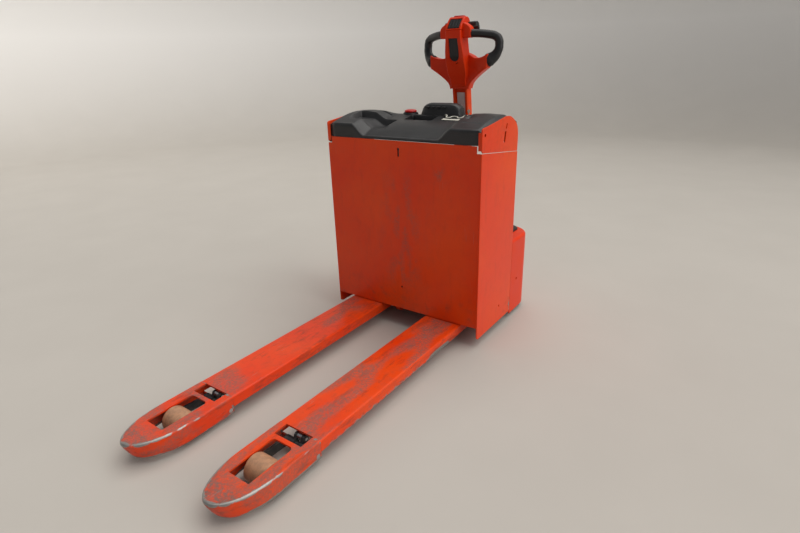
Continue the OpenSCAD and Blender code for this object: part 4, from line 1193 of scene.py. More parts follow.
def hood_height(x, y):
    side = smooth_step(158, 226, abs(x) - 8 * smooth_step(150, 40, y))
    low = tray_height(max(y, 0))
    high = max(low, shoulder_height(y))
    edge = smooth_step(HOOD_HALF - 26, HOOD_HALF, abs(x))
    z = low + (high - low) * side + 5 * gauss(abs(x), y, 275, 180, 34, 46) * (1 - edge)
    z -= 10 * edge ** 2
    z -= bowl(x, y, -80, 40, 172, 232, 47, 9)
    z -= bowl(x, y, -292, -112, 62, 150, 24, 12) * smooth_step(40, 140, y)
    z -= 3.5 * bowl(x, y, -240, -172, 204.5, 213.5, 1, 3)
    z -= 6 * bowl(x, y, -236, -222, 222, 238, 1, 5)
    z -= 10 * gauss(x, y, 236, 133, 14, 22)
    z -= 2.0 * bowl(x, y, 246, 322, 62, 66.5, 1, 2.5)
    return z


print("hand recess floor at", round(hood_height(-20, 200)), "mm")

# %% [markdown]
# ### Hood: the skin
# Columns of points run from the front edge over the top to the rear edge, closer together where the
# height changes fast. They are skinned to an open sheet, and a Solidify modifier gives it the wall
# of 3.5 mm that a moulding has.

# %% Columns of the hood
def hood_column(x):
    """Points from the front lower edge over the top to the rear lower edge."""
    outer = abs(x) > HOOD_HALF - 14.5
    front = 6.4 if outer else 0.2 + 5.5 * smooth_step(HOOD_HALF - 34, HOOD_HALF - 15, abs(x))
    top = hood_height(x, front + 13)
    radius = min(12.0, (top - LIP) * 0.8)
    points = [(front, LIP + (top - radius - LIP) * k / 5) for k in range(6)]
    for k in range(1, 6):
        a = math.radians(90 * k / 6)
        points.append((front + 12 * (1 - math.cos(a)), top - radius + radius * math.sin(a)))
    first, last = front + 12.5, HOOD_REAR - 14
    steps = 96
    for k in range(steps + 1):
        y = first + (last - first) * k / steps
        points.append((y, hood_height(x, y)))
    end = hood_height(x, last)
    for k in range(1, 7):
        a = math.radians(90 * k / 6)
        points.append((last + 13.5 * math.sin(a), end - 14 * (1 - math.cos(a))))
    points += [(HOOD_REAR - 0.5, end - 14 + (hood_box[4] + 1 - end + 14) * k / 5) for k in range(1, 6)]
    return points


even_columns = [-HOOD_HALF + 2 * HOOD_HALF * k / 150 for k in range(151)]
edge_columns = [side * (HOOD_HALF - d) for side in (-1, 1) for d in (0, 1.5, 3.5, 6, 9, 12, 14.4, 14.6, 17)]
recess_columns = [-82, -80, -78, -76, 36, 38, 40, 42]
columns_at = sorted({round(x, 2) for x in even_columns + edge_columns + recess_columns})
print("columns:", len(columns_at), "of", len(hood_column(0)), "points")

# %% [markdown]
# ### Hood: shell and wear
# The crowns of the shoulders are what sleeves and boxes rub, so they get the higher wear value.

# %% Hood shell
HOOD_WALL = 3.5
hood = loft("hood_moulding", [[at(x, y, z) for y, z in hood_column(x)] for x in columns_at],
            closed_rings=False, caps=False)
thick = hood.modifiers.new("thickness", "SOLIDIFY")
thick.thickness = HOOD_WALL * MM
thick.offset = -1 if sum(f.normal.z for f in hood.data.polygons) > 0 else 1
bake_modifiers(hood)


def hood_wear(p):
    z, y = p.z / MM, (p.y - face_y) / MM
    crown = smooth_step(12, 0, abs(z - shoulder_height(max(y, 20)))) * 0.7
    return max(crown * blotch(p, 30, 3), 0.15 * smooth_step(0.5, 0.8, blotch(p, 12, 5)))


paint_wear(hood, hood_wear)
settle(hood, black_plastic, "moulding_black", "hood_shell", angle=38)
print("hood:", len(hood.data.polygons), "faces")

# %% [markdown]
# ### Console
# The console stands at the back of the hood, facing whoever walks behind. It is a loft of side
# profiles along X. The end profiles shrink step by step, which rounds the dome. The right end sinks
# faster, as a facet does there on the moulding.

# %% Profile of the console
console_box = size_mm("console_housing")
console_middle = (console_box[0] + console_box[1]) / 2
console_half = (console_box[1] - console_box[0]) / 2


def console_ring(x, shrink, sink):
    top = console_box[5] - sink
    front, rear = 244 + shrink, 303 - shrink * 0.35
    base = hood_height(x, 246) - 3
    upper = [(front - 2, base), (front + 1, base + (top - base) * 0.35), (front + 4, top - 15),
             (front + 9, top - 6), (front + 18, top - 1), (front + 28, top), (rear - 12, top - 1),
             (rear - 4, top - 5), (rear, top - 13), (rear + 1, top - 30), (rear + 0.5, top - 46),
             (rear, hood_height(x, 294) - 3)]
    lower = [(rear - 22, hood_height(x, 275) - 4), (front + 14, hood_height(x, 258) - 4)]
    return [at(x, y, z) for y, z in upper + lower]


print("console profile:", len(console_ring(console_middle, 0, 0)), "points")

# %% [markdown]
# ### Console dome
# The dome is skinned, then a pocket for the display and four slots are cut into it. Its top is
# touched a lot, so it wears to a dusty grey.

# %% Console dome
ROUND_END = 42
console_stations = [(0, 14, 36), (3, 9, 26), (8, 5, 17), (15, 2.6, 10), (24, 1.2, 5), (33, 0.3, 1.8),
                    (ROUND_END, 0, 0)]
left_end, right_end = console_middle - console_half, console_middle + console_half
level_length = 2 * console_half - 2 * ROUND_END
rings = [console_ring(left_end + d, shrink, sink) for d, shrink, sink in console_stations]
rings += [console_ring(left_end + ROUND_END + k * level_length / 6, 0, 0) for k in range(1, 6)]
rings += [console_ring(right_end - d, shrink, sink * (1.6 if d < 8 else 1))
          for d, shrink, sink in console_stations[::-1]]
console = loft("console_dome", rings)
screen_box = size_mm("display")
opening = rounded_rect(screen_box[0] - 0.4, screen_box[1] + 0.4, screen_box[4] - 0.4, screen_box[5] + 0.4, 5)
pocket = solid_from_outline("pocket", opening, lambda u, v, t: at(u, 297.8 + t, v), 12)
slots = [solid_from_outline("slot", rounded_rect(x - 9, x + 9, 0, 7.0, 3.2),
                            lambda u, v, t: at(u, 238 + t, console_box[5] - 19 + v), 18)
         for x in (console_middle - 58, console_middle - 32, console_middle - 6, console_middle + 20)]
cut(console, pocket, *slots)
soften(console, 0.8, 2, 30)
densify(console, 0.012)
paint_wear(console, lambda p: 0.55 * smooth_step(console_box[5] - 16, console_box[5] - 2, p.z / MM))
settle(console, black_plastic, "moulding_black", "console_housing", angle=38)
print("console:", len(console.data.polygons), "faces")

# %% [markdown]
# ### Display
# The display is a small pane that sits in the pocket with 0.7 mm of play all round.

# %% Display
pane = rounded_rect(screen_box[0] + 0.3, screen_box[1] - 0.3, screen_box[4] + 0.3, screen_box[5] - 0.3, 4.5)
glass = solid_from_outline("display_pane", pane, lambda u, v, t: at(u, 298.2 + t, v), 2.6)
soften(glass, 0.6, 2)
settle(glass, screen, "screen", "display")
print("display:", len(glass.data.polygons), "faces")

# %% [markdown]
# ### Emergency stop
# The red mushroom is turned: one profile of half its section, swept round its stem. A ring on the
# hood stands round it, wide enough for the button to be pressed into it.

# %% Emergency stop
stop_box = size_mm("emergency_stop")
stop_place = at((stop_box[0] + stop_box[1]) / 2, (stop_box[2] + stop_box[3]) / 2, 0)
stop_top = stop_box[5] * MM
mushroom = [(stop_top, 0.0), (stop_top - 0.0004, 0.012), (stop_top - 0.0016, 0.020),
            (stop_top - 0.0042, 0.0252), (stop_top - 0.0075, 0.0269), (stop_top - 0.0105, 0.0262),
            (stop_top - 0.012, 0.0235), (stop_top - 0.012, 0.0085), (stop_top - 0.040, 0.0085),
            (stop_top - 0.040, 0.0)]
button = lathe("stop_mushroom", mushroom, stop_place, "Z", 56)
soften(button, 0.5, 2)
settle(button, button_red, "button_red", "emergency_stop")
collar_base = hood_height(stop_place.x / MM, 262) * MM
collar_profile = [(collar_base - 0.006, 0.0279), (collar_base + 0.0045, 0.0279),
                  (collar_base + 0.0058, 0.0290), (collar_base + 0.0058, 0.0305),
                  (collar_base + 0.0030, 0.0325), (collar_base - 0.006, 0.0335)]
collar = lathe("stop_collar", collar_profile, stop_place, "Z", 56)
settle(collar, black_plastic, "moulding_black", body="hood")
print("stop button top at", round(stop_top / MM), "mm")

# %% [markdown]
# ### Key switch
# A key stands in its barrel, with a round escutcheon let into the hood. Key and barrel turn
# together, so they are joined, and the escutcheon stays with the hood.

# %% Key switch
key_box = size_mm("key")
key_place = at((key_box[0] + key_box[1]) / 2, (key_box[2] + key_box[3]) / 2, key_box[4])
barrel = lathe("key_barrel", [(0, 0.0), (0, 0.0069), (0.0032, 0.0069), (0.004, 0.006), (0.004, 0.0)],
               key_place, "Z", 40)
key_head = [(-9, 14)] + arc(-4, 19.5, 6, 215, 90, 6) + arc(4, 19.5, 6, 90, -35, 6)
key_head += [(9, 14), (3.2, 11), (3.2, 3.5), (-3.2, 3.5), (-3.2, 11)]
blade = solid_from_outline("key_blade", key_head,
                           lambda u, v, t: key_place + Vector((-1.3 * MM + t * MM, u * MM, v * MM)), 2.6,
                           [arc(0, 19, 2.6, 0, 330, 11)])
soften(blade, 0.5, 2)
key_piece = join("key_in_barrel", [barrel, blade])
settle(key_piece, zinc, "steel", "key")
escutcheon_profile = [(-0.009, 0.0078), (-0.0004, 0.0078), (0.0004, 0.009), (0.0004, 0.0125),
                      (-0.0015, 0.0145), (-0.009, 0.0145)]
escutcheon = lathe("key_escutcheon", escutcheon_profile, key_place, "Z", 40)
settle(escutcheon, zinc, "steel", body="hood")
print("key switch:", len(key_piece.data.polygons), "faces")

# %% [markdown]
# ### Document clip
# A bent spring wire holds papers on the tray. It hinges in two lugs, runs forward in waves and
# comes back. The wire is one tube along a list of points that keeps just above the tray.

# %% Path of the clip wire
clip_box = size_mm("document_clip")
wire = clip_box[5] - 3
clip_mid = (clip_box[0] + clip_box[1]) / 2
clip_back = 222


def wire_height(x, y):
    return max(hood_height(x, y) + 3.4, wire - 40)


WIRE_RADIUS = 2.2
path = [(-51, 0), (-44, 0), (-40, 0), (-38, -3), (-37, -9), (-34, -17), (-25, -20), (-17, -17), (-15, -10),
        (-10, -5), (0, -3), (10, -5), (15, -10), (17, -17), (25, -20), (34, -17), (37, -9), (38, -3), (40, 0),
        (44, 0), (51, 0)]
spots = []
for u, v in path:
    x, y = clip_mid + u, clip_back + v
    spots.append(at(x, y, wire if v == 0 else wire_height(x, y)))
print("clip wire:", len(spots), "points")

# %% [markdown]
# ### Clip and its plate
# The ends of the wire are thicker where they turn in the lugs. A thin waved plate at the front
# presses on the papers.

# %% Clip and its plate
bent = tube("clip_wire", spots, WIRE_RADIUS * MM, 12, normal=(0, 0, 1))
pivot = at(clip_mid, clip_back, wire)
ends = [lathe("clip_journal", [(a, 0.0), (a, 0.0029), (b, 0.0029), (b, 0.0)], pivot, "X", 24)
        for a, b in ((-0.052, -0.043), (0.043, 0.052))]
plate_outline = [(-43, -22), (-43, -40), (-38, -42), (38, -42), (43, -40), (43, -22), (20, -28), (-20, -28)]


def on_papers(u, v, t):
    return at(clip_mid + u, clip_back + v, wire_height(clip_mid, clip_back + v) - 2.6 + t)


paper_plate = solid_from_outline("clip_plate", plate_outline, on_papers, 1.2)
for vertex in paper_plate.data.vertices:
    vertex.co.z += 0.0012 * math.sin((vertex.co.x / MM - clip_mid) / 6.5)
soften(paper_plate, 0.4, 2)
clip = join("clip_spring", [bent, *ends, paper_plate])
settle(clip, nylon, "steel", "document_clip")
print("clip:", len(clip.data.polygons), "faces")

# %% [markdown]
# ### Lugs of the clip
# Two lugs on the hood hold the wire. Their bores leave a little play round its thick ends.

# %% Lugs of the clip
lugs = []
for x in (clip_mid - 48, clip_mid + 48):
    lug = solid_from_outline("lug", [(-5, -17), (5, -17)] + arc(0, 0, 5.2, 0, 180, 10),
                             lambda u, v, t: at(x - 2.8 + t, clip_back + u, wire + v), 5.6,
                             [arc(0, 0, 3.05, 0, 345, 23)])
    lugs.append(soften(lug, 0.5, 2))
settle(join("clip_lugs", lugs), black_plastic, "moulding_black", body="hood")
print("lugs:", len(lugs))

# %% [markdown]
# ## Drive cover
# One red moulding wraps the drive wheel from the side plates round to the rear. It is a loft of
# its outline at rising heights, with the rim rolled inwards at the top, minus a smaller copy of
# itself.

# %% Shape of the cover
cover = size_mm("drive_cover")
COVER_ROUND = 100
drive_axis = size_mm("bearing_ring")
steer_axis = (drive_axis[2] + drive_axis[3]) / 2


def cover_ring(inset, z, start):
    half = cover[1] - inset
    rear = cover[3] - inset
    radius = COVER_ROUND - inset
    points = [(half, start)] + [(half, start + (rear - radius - start) * k / 5) for k in range(1, 5)]
    points += arc(half - radius, rear - radius, radius, 0, 90, 14)
    points += [((half - radius) * (1 - k / 4), rear) for k in range(1, 4)]
    half_count = len(points)
    points += [(0, rear)] + [(-x, y) for x, y in points[:half_count][::-1]]
    return [at(x, y, z) for x, y in points]


def cover_solid(name, wall, low, high, start):
    levels = [(wall + 2, low), (wall + 0.5, low + 2.5), (wall, low + 6)]
    levels += [(wall, low + 6 + (high - 20 - low) * k / 12) for k in range(1, 12)]
    levels += [(wall + 14 * (1 - math.cos(math.radians(a))), high - 14 + 14 * math.sin(math.radians(a)))
               for a in (0, 15, 30, 45, 60, 75, 90)]
    return loft(name, [cover_ring(inset, z, start) for inset, z in levels])


print("cover from", round(cover[2]), "to", round(cover[3]), "mm")

# %% [markdown]
# ### Wear on the cover
# The cover is the part that meets walls. Its upper rim, its rear and its foot are scraped.

# %% Wear on the cover
def cover_wear(p):
    x, y, z = abs(p.x / MM), (p.y - face_y) / MM, p.z / MM
    rim = smooth_step(11, 1, abs(z - cover[5] + 5)) * smooth_step(0.46, 0.7, blotch(p, 26, 8))
    upright = blotch((p.x, p.y, p.z * 0.3), 34, 2)
    rear = smooth_step(cover[3] - 26, cover[3] - 6, y) * smooth_step(0.50, 0.66, upright)
    foot = smooth_step(70, 22, z) * smooth_step(0.45, 0.7, blotch(p, 18, 6))
    return max(rim * 0.8, rear * 0.85, foot * 0.75, 0.05)


print("wear on the rear:", round(cover_wear(at(0, cover[3], cover[5] / 2)), 2))

# %% [markdown]
# ### The cover itself
# A round opening on top lets the drive motor turn through, and a wide notch leaves room for the box.

# %% The cover itself
shell = cover_solid("cover_moulding", 0, cover[4], cover[5], cover[2])
inside = cover_solid("inside", 4, cover[4] - 3, cover[5] - 4, cover[2] - 2)
motor_hole = lathe("opening", [(0.25, 0.0), (0.25, 0.124), (0.45, 0.124), (0.45, 0.0)],
                   at(0, steer_axis, 0), "Z", 72)
tower = [(-312, cover[2] - 4), (312, cover[2] - 4), (312, 372), (-312, 372)]
tower_room = solid_from_outline("tower_room", tower, lambda u, v, t: at(u, v, cover[5] - 40 + t), 60)
side_hole = lathe("side_hole", [(-0.5, 0.0), (-0.5, 0.006), (0.5, 0.006), (0.5, 0.0)],
                  at(0, 387, 170), "X", 24)
cut(shell, inside, motor_hole, tower_room, side_hole)
soften(shell, 1.2, 2, 40)
densify(shell, 0.020)
paint_wear(shell, cover_wear)
settle(shell, red_plastic, "moulding_red", "drive_cover", angle=44)
print("drive cover:", len(shell.data.polygons), "faces")

# %% [markdown]
# ### Cover caps
# Two black caps sit on top of the cover, left and right. Each is a rounded rectangle whose rings
# shrink towards the top, which gives a pillow shape with a shallow dish.

# %% Cover caps
def cap_ring(x_middle, half_x, y0, y1, radius, z):
    return [at(x_middle + u, v, z) for u, v in rounded_rect(-half_x, half_x, y0, y1, radius, 7)]


caps_box = size_mm("cover_caps")
cap_low, cap_high = caps_box[4], caps_box[5]
caps = []
for side in (-1, 1):
    middle = side * 236
    steps = [(0, cap_low), (0, cap_low + 4), (1, cap_low + 7), (4, cap_low + 11), (8, cap_low + 14),
             (12, cap_high)]
    rings = [cap_ring(middle, 72 - inset, 426 + inset, 506 - inset * 0.8, 18, z) for inset, z in steps]
    rings.append(cap_ring(middle, 50, 446, 486, 14, cap_high))
    rings.append(cap_ring(middle, 47, 449, 483, 12, cap_high - 1.2))
    caps.append(loft("cap", rings))
cap_pair = join("cover_cap_pair", caps)
densify(cap_pair, 0.02)
paint_wear(cap_pair, lambda p: 0.2 + 0.5 * smooth_step(cap_high - 4, cap_high, p.z / MM) * blotch(p, 15, 1))
settle(cap_pair, black_plastic, "moulding_black", "cover_caps")
print("cover caps:", len(cap_pair.data.polygons), "faces")

# %% [markdown]
# ## Tiller
# The tiller arm is a bowed channel. Its section is pulled along the bow, and the depth of the
# channel grows from nothing just above the pivot. A bend modifier would distort the ends, so the
# rings of a loft follow the bow instead.

# %% Section of the tiller arm
arm_box = size_mm("tiller_arm")
pin_box = size_mm("tiller_pin")
TILLER_Z = (pin_box[4] + pin_box[5]) / 2
TILLER_Y = (pin_box[2] + pin_box[3]) / 2
NECK_Z = 1015
ARM_TOP = arm_box[5]


def bow(z):
    t = (z - TILLER_Z) / (NECK_Z - TILLER_Z)
    return TILLER_Y + 104 * t * (1 - t)


def arm_ring(z):
    front_depth = 14 * smooth_step(492, 512, z)
    rear_depth = 4 * smooth_step(492, 506, z) * smooth_step(NECK_Z - 74, NECK_Z - 86, z)
    section = arc(31, 16.5, 6, 0, 90, 4)
    section += [(27.2, 22.5), (26, 22.5 - rear_depth), (0, 22.5 - rear_depth), (-26, 22.5 - rear_depth),
                (-27.2, 22.5)]
    section += arc(-31, 16.5, 6, 90, 180, 4) + [(-37, 4), (-37, -8)] + arc(-31, -16.5, 6, 180, 270, 4)
    section += [(-27.5, -22.5), (-25, -22.5 + front_depth), (-12, -22.5 + front_depth),
                (12, -22.5 + front_depth), (25, -22.5 + front_depth), (27.5, -22.5)]
    section += arc(31, -16.5, 6, 270, 360, 4) + [(37, -8), (37, 4)]
    return [at(x, bow(z) + v, z) for x, v in section]


print("the bow stands out", round(bow((TILLER_Z + NECK_Z) / 2) - TILLER_Y), "mm at its middle")

# %% [markdown]
# ### Arm and boss
# At the pivot a turned boss carries the pin. It is joined to the bar, and both are bored through.

# %% Arm and boss
levels = [TILLER_Z] + [TILLER_Z + 26 + (ARM_TOP - TILLER_Z - 26) * k / 70 for k in range(71)]
bar = loft("arm_bar", [arm_ring(z) for z in levels])
pivot = at(0, TILLER_Y, TILLER_Z)
boss_profile = [(-0.037, 0.0081), (-0.037, 0.0205), (-0.0350, 0.0225), (0.0350, 0.0225), (0.037, 0.0205),
                (0.037, 0.0081)]
boss = lathe("arm_boss", boss_profile, pivot, "X", 48)
bore = lathe("bore", [(-0.06, 0.0), (-0.06, 0.0081), (0.06, 0.0081), (0.06, 0.0)], pivot, "X", 32)
cut(bar, bore)
arm = join("arm_channel", [bar, boss])


def arm_wear(p):
    return 0.5 * smooth_step(0.5, 0.72, blotch(p, 20, 3)) * smooth_step(26, 31, abs(p.x / MM)) + 0.04


paint_wear(arm, arm_wear)
settle(arm, enamel_body, "lacquer_red", "tiller_arm", angle=40)
print("tiller arm:", len(arm.data.polygons), "faces")

# %% [markdown]
# ### Plain plate in the arm
# A thin grey plate lies in the channel below the head and bends with it, so it is lofted along the
# same bow. It carries no print.

# %% Plain plate in the arm
label_low = NECK_Z - 190
label_section = [(-19.5, -10.8), (-18.9, -11.4), (18.9, -11.4), (19.5, -10.8), (19.5, -9.2), (-19.5, -9.2)]
label_rings = [[at(x, bow(z) + v, z) for x, v in label_section]
               for z in [label_low + 130 * k / 20 for k in range(21)]]
label = loft("label_sheet", label_rings)
settle(label, label_grey, "plate", "label_plate", angle=50)
print("plate:", len(label.data.polygons), "faces")

# %% [markdown]
# ### Places and curves on the head
# The head has its own middle, at the top of the arm. "sweep" says how far forward the arms of the Y
# reach, and "smooth_path" draws a soft curve through a few points, as a spline does.

# %% Places and curves on the head
def head(x, v, w):
    return at(x, TILLER_Y + v, NECK_Z + w)


def sweep(x):
    return between([(0, 2), (50, 2), (90, -6), (142, -14)], abs(x))


def smooth_path(points, each=6):
    """Extra points on a curve through the given ones."""
    result = []
    for i in range(len(points) - 1):
        p0, p1, p2, p3 = (Vector(points[max(0, min(len(points) - 1, i + d))]) for d in (-1, 0, 1, 2))
        for k in range(each):
            t = k / each
            result.append(0.5 * (2 * p1 + (p2 - p0) * t + (2 * p0 - 5 * p1 + 4 * p2 - p3) * t ** 2
                                 + (3 * p1 - p0 - 3 * p2 + p3) * t ** 3))
    return result + [Vector(points[-1])]


print("head starts at", NECK_Z, "mm, grips swept by", sweep(142), "mm")

# %% [markdown]
# ### The Y of the head
# The Y is a flat outline with thickness. Its edges are rounded with a wide bevel, then every point
# slides forward by an amount that grows towards the grips, which gives the sweep seen from above.

# %% The Y of the head
half_y = [(43, -60, 0), (46, -49, 0), (52, -28, 0), (66, -10, 0), (100, 17, 0), (139, 42, 0)]
upper_y = [(141, 98, 0), (120, 88, 0), (96, 82, 0), (74, 83, 0), (58, 92, 0), (30, 104, 0)]
right_half = [(p.x, p.y) for p in smooth_path(half_y, 4)] + [(p.x, p.y) for p in smooth_path(upper_y, 4)]
y_outline = right_half + [(-x, w) for x, w in right_half[::-1]]
fork = solid_from_outline("head_y", y_outline, lambda u, v, t: head(u, t - 22, v), 44)
soften(fork, 8, 5, 50)
densify(fork, 0.010)
for vertex in fork.data.vertices:
    x, w = vertex.co.x / MM, vertex.co.z / MM - NECK_Z
    vertex.co.y += sweep(x) * MM
    # Front of the lower arms is scooped, which leaves the bright upper edge proud
    scoop = gauss(abs(x), w, 74, 40, 26, 20)
    if vertex.co.y < face_y + (TILLER_Y + sweep(x)) * MM:
        vertex.co.y += 5 * scoop * MM
    vertex.co.z = max(vertex.co.z, (NECK_Z - 43.7) * MM)

print("the Y:", len(fork.data.polygons), "faces")

# %% [markdown]
# ### The pod
# A pod leans forward out of the middle of the Y. It is a side profile pushed across. A recess for
# the black panel and seats for the lift rocker and the horn are cut into it.

# %% The pod
POD = [(-18, -43.5), (-20, -36), (-27, -24), (-36, 6), (-44, 24), (-53, 48), (-60, 66), (-66, 84), (-72, 112),
       (-77, 140), (-80, 162), (-80, 190), (-78, 192), (-10, 192), (-8, 190), (-8, 97), (-4, 88), (12, 70),
       (18, 52), (20, 40), (22, -43.5)]
pod = solid_from_outline("head_pod", POD, lambda u, v, t: head(t - 37, u, v), 74)
soften(pod, 5, 4, 50)
panel_floor = [(60, -54), (90, -64), (170, -76)]
recess_outline = [(-22, 161), (-22, 92)] + arc(0, 92, 22, 180, 360, 16) + [(22, 161)]
recess = solid_from_outline("recess", recess_outline, lambda u, v, t: head(u, -110 + t, v), 60)
for vertex in recess.data.vertices:
    if vertex.co.y > face_y + (TILLER_Y - 80) * MM:
        vertex.co.y = face_y + (TILLER_Y + between(panel_floor, vertex.co.z / MM - NECK_Z)) * MM
rocker_seat = solid_from_outline("seat", rounded_rect(-16.5, 16.5, 143.5, 176.5, 2),
                                 lambda u, v, t: head(u, -22 + t, v), 16)
horn_seat = lathe("horn_seat", [(-0.022, 0.0), (-0.022, 0.0125), (-0.005, 0.0125), (-0.005, 0.0)],
                  head(0, 0, 120), "Y", 40)
cut(pod, recess, rocker_seat, horn_seat)
print("the pod:", len(pod.data.polygons), "faces before it is widened")

# %% [markdown]
# ### Widening the pod
# The pod grows wider downwards until it meets the Y, as the real moulding does. The mesh is split
# finely first, so that it can follow. Both are then joined to one shell.

# %% Widening the pod
densify(pod, 0.010)
for vertex in pod.data.vertices:
    w = vertex.co.z / MM - NECK_Z
    widen = between([(60, 1.22), (95, 1.20), (112, 1.15), (152, 1.0), (192, 0.97)], w)
    if vertex.co.y < face_y + (TILLER_Y - 10) * MM:
        vertex.co.x *= 1 + (widen - 1) * smooth_step(-10, 20, w)
shell = join("head_moulding", [fork, pod])
paint_wear(shell, lambda p: 0.15 * blotch(p, 20, 2))
settle(shell, red_plastic, "moulding_red", "head_shell", angle=42)
print("head shell:", len(shell.data.polygons), "faces")

# %% [markdown]
# ### Panel in the pod
# A soft black panel fills the recess. Shallow ridges run down it and draw together towards its foot.
# They are real bumps in the mesh, made by moving its points, and not only a trick of the light.

# %% Panel in the pod
insert_outline = [(-21.4, 160.4), (-21.4, 92)] + arc(0, 92, 21.4, 180, 360, 16) + [(21.4, 160.4)]
insert = solid_from_outline("pod_insert", insert_outline, lambda u, v, t: head(u, -60 + t, v), 1.6)
densify(insert, 0.006)
for vertex in insert.data.vertices:
    back = vertex.co.y > face_y + (TILLER_Y - 59.2) * MM
    x, w = vertex.co.x / MM, vertex.co.z / MM - NECK_Z
    ridge = sum(gauss(x, 0, s * (4 + 9 * smooth_step(70, 160, w)), 0, 1.5, 1) for s in (-1, 1))
    vertex.co.y = face_y + (TILLER_Y + between(panel_floor, w) - (0.2 if back else 1.2 + 1.1 * ridge)) * MM
settle(insert, grip_rubber, "moulding_black", body="tiller", angle=50)
print("panel:", len(insert.data.polygons), "faces")

# %% [markdown]
# ### Top of the head
# A red cap closes the pod. Its front slope has a well for a ribbed insert, and two rounded shoulders
# carry the upper ends of the grips.

# %% Head top
TOP = [(-79.5, 192.3), (-79.5, 196), (-76, 205), (-68, 216), (-58, 227), (-49, 237), (-42, 242.5), (-34, 245),
       (-20, 245), (-12, 243.5), (-3, 238), (4, 229), (8, 217), (7, 206), (4, 199), (0, 192.3)]
cap = solid_from_outline("head_cap", TOP, lambda u, v, t: head(t - 37, u, v), 74)
soften(cap, 7, 5, 45)
well = solid_from_outline("well", [(-75.5, 197), (-45.5, 235), (-57, 246), (-90, 204)],
                          lambda u, v, t: head(t - 29, u, v), 58)
button_room = solid_from_outline("button_room", rounded_rect(-24.5, 24.5, -30.5, -7.5, 4),
                                 lambda u, v, t: head(u, v, 231 + t), 20)
throttle_axis = head(0, -8, 214)
wing_bore = lathe("wing_bore", [(-0.047, 0.0), (-0.047, 0.0091), (0.047, 0.0091), (0.047, 0.0)],
                  throttle_axis, "X", 32)
cut(cap, well, button_room, wing_bore)
SHOULDER = [(34, 160), (68, 161), (73, 163), (73.5, 192), (71, 200), (65, 207), (54, 214), (44, 220),
            (34, 223)]
shoulders = []
for side in (-1, 1):
    lump = solid_from_outline("shoulder", SHOULDER, lambda u, v, t: head(side * u, -61 + t, v), 36)
    shoulders.append(soften(lump, 7, 5, 45))
cap = join("head_cap", [cap, *shoulders])
densify(cap, 0.012)
paint_wear(cap, lambda p: 0.3 * blotch(p, 12, 4))
settle(cap, red_plastic, "moulding_red", "head_top", angle=42)
print("head top:", len(cap.data.polygons), "faces")

# %% [markdown]
# ### Ribbed insert
# A thumb rests on the black insert in the front slope, so it has four raised ribs. Its drawing is
# laid on the slope by "on_slope", which counts along the slope and out of it.

# %% Ribbed insert
slope = Vector((0, 30, 38)).normalized()
outward = Vector((0, -38, 30)).normalized()


def on_slope(u, v, t):
    return head(u, -75.5 + slope.y * v + outward.y * t, 197 + slope.z * v + outward.z * t)


ribs = [solid_from_outline("rib_base", rounded_rect(-28.6, 28.6, 0.4, 48, 3),
                           lambda u, v, t: on_slope(u, v, t - 0.5), 1.6)]
for x in (-21, -7, 7, 21):
    rib = solid_from_outline("rib", rounded_rect(x - 4.4, x + 4.4, 2, 45, 3.5), on_slope, 4.2)
    ribs.append(soften(rib, 1.6, 3))
settle(join("rib_insert", ribs), grip_rubber, "moulding_black", body="tiller", angle=45)
print("insert with", len(ribs) - 1, "ribs")

# %% [markdown]
# ### Grips
# Each grip is a loop of soft black elastomer that runs from the Y round the hand and back to the
# head. It is a tube whose thickness changes along its way, with faint swells where fingers lie. A
# row of the list holds a place on the head and the two half widths there.

# %% Grips
GRIP = [(134, -13, 69, 27, 21), (143, -12, 74, 26.5, 19), (161, -3, 89, 22, 17.5), (173, 4, 112, 18, 17),
        (174.3, 7, 135, 17.6, 17), (170, 5, 154, 17.5, 17), (155, -1, 166.5, 16.8, 16.8),
        (130, -14, 172.5, 16.3, 16.5), (100, -30, 176.5, 16, 16.5), (70, -43.5, 178, 16, 16.5)]
grips = []
for side in (-1, 1):
    centres = smooth_path([(x * side, v, w) for x, v, w, _, _ in GRIP], 7)
    sizes = smooth_path([(a, b, 0) for _, _, _, a, b in GRIP], 7)
    along = [head(*p) for p in centres]
    radii = [s.x * MM * (1 + 0.018 * math.sin(i * 0.9) * (18 < i < 44)) for i, s in enumerate(sizes)]
    flat = [s.y / s.x for s in sizes]
    grips.append(tube("grip", along, radii, 32, flat, normal=(0, 1, 0)))
grip_pair = join("grip_loops", grips)
paint_wear(grip_pair, lambda p: 0.4 * smooth_step(0.5, 0.8, blotch(p, 16, 3)))
settle(grip_pair, grip_rubber, "moulding_black", "grips", angle=60)
print("grips:", len(grip_pair.data.polygons), "faces")

# %% [markdown]
# ### Cuffs
# A slightly thicker cuff covers the joint between grip and Y, as a sleeve does on a moulded grip.

# %% Cuffs
CUFF = [(137, -14, 70.5), (142.5, -12.5, 74), (146, -10.5, 77)]
cuffs = []
for side in (-1, 1):
    cuff_path = [head(side * x, v, w) for x, v, w in CUFF]
    cuffs.append(tube("cuff", cuff_path, [27.4 * MM, 27.9 * MM, 26.0 * MM], 32, 0.78))
settle(join("grip_cuffs", cuffs), grip_rubber, "moulding_black", body="tiller", angle=60)
print("cuffs:", len(cuffs))

# %% [markdown]
# ### Throttle wings
# A wing on each side of the head top turns on one axle and sets the speed. The wing is a side profile
# pushed outwards, with four small ribs where the thumb pushes.

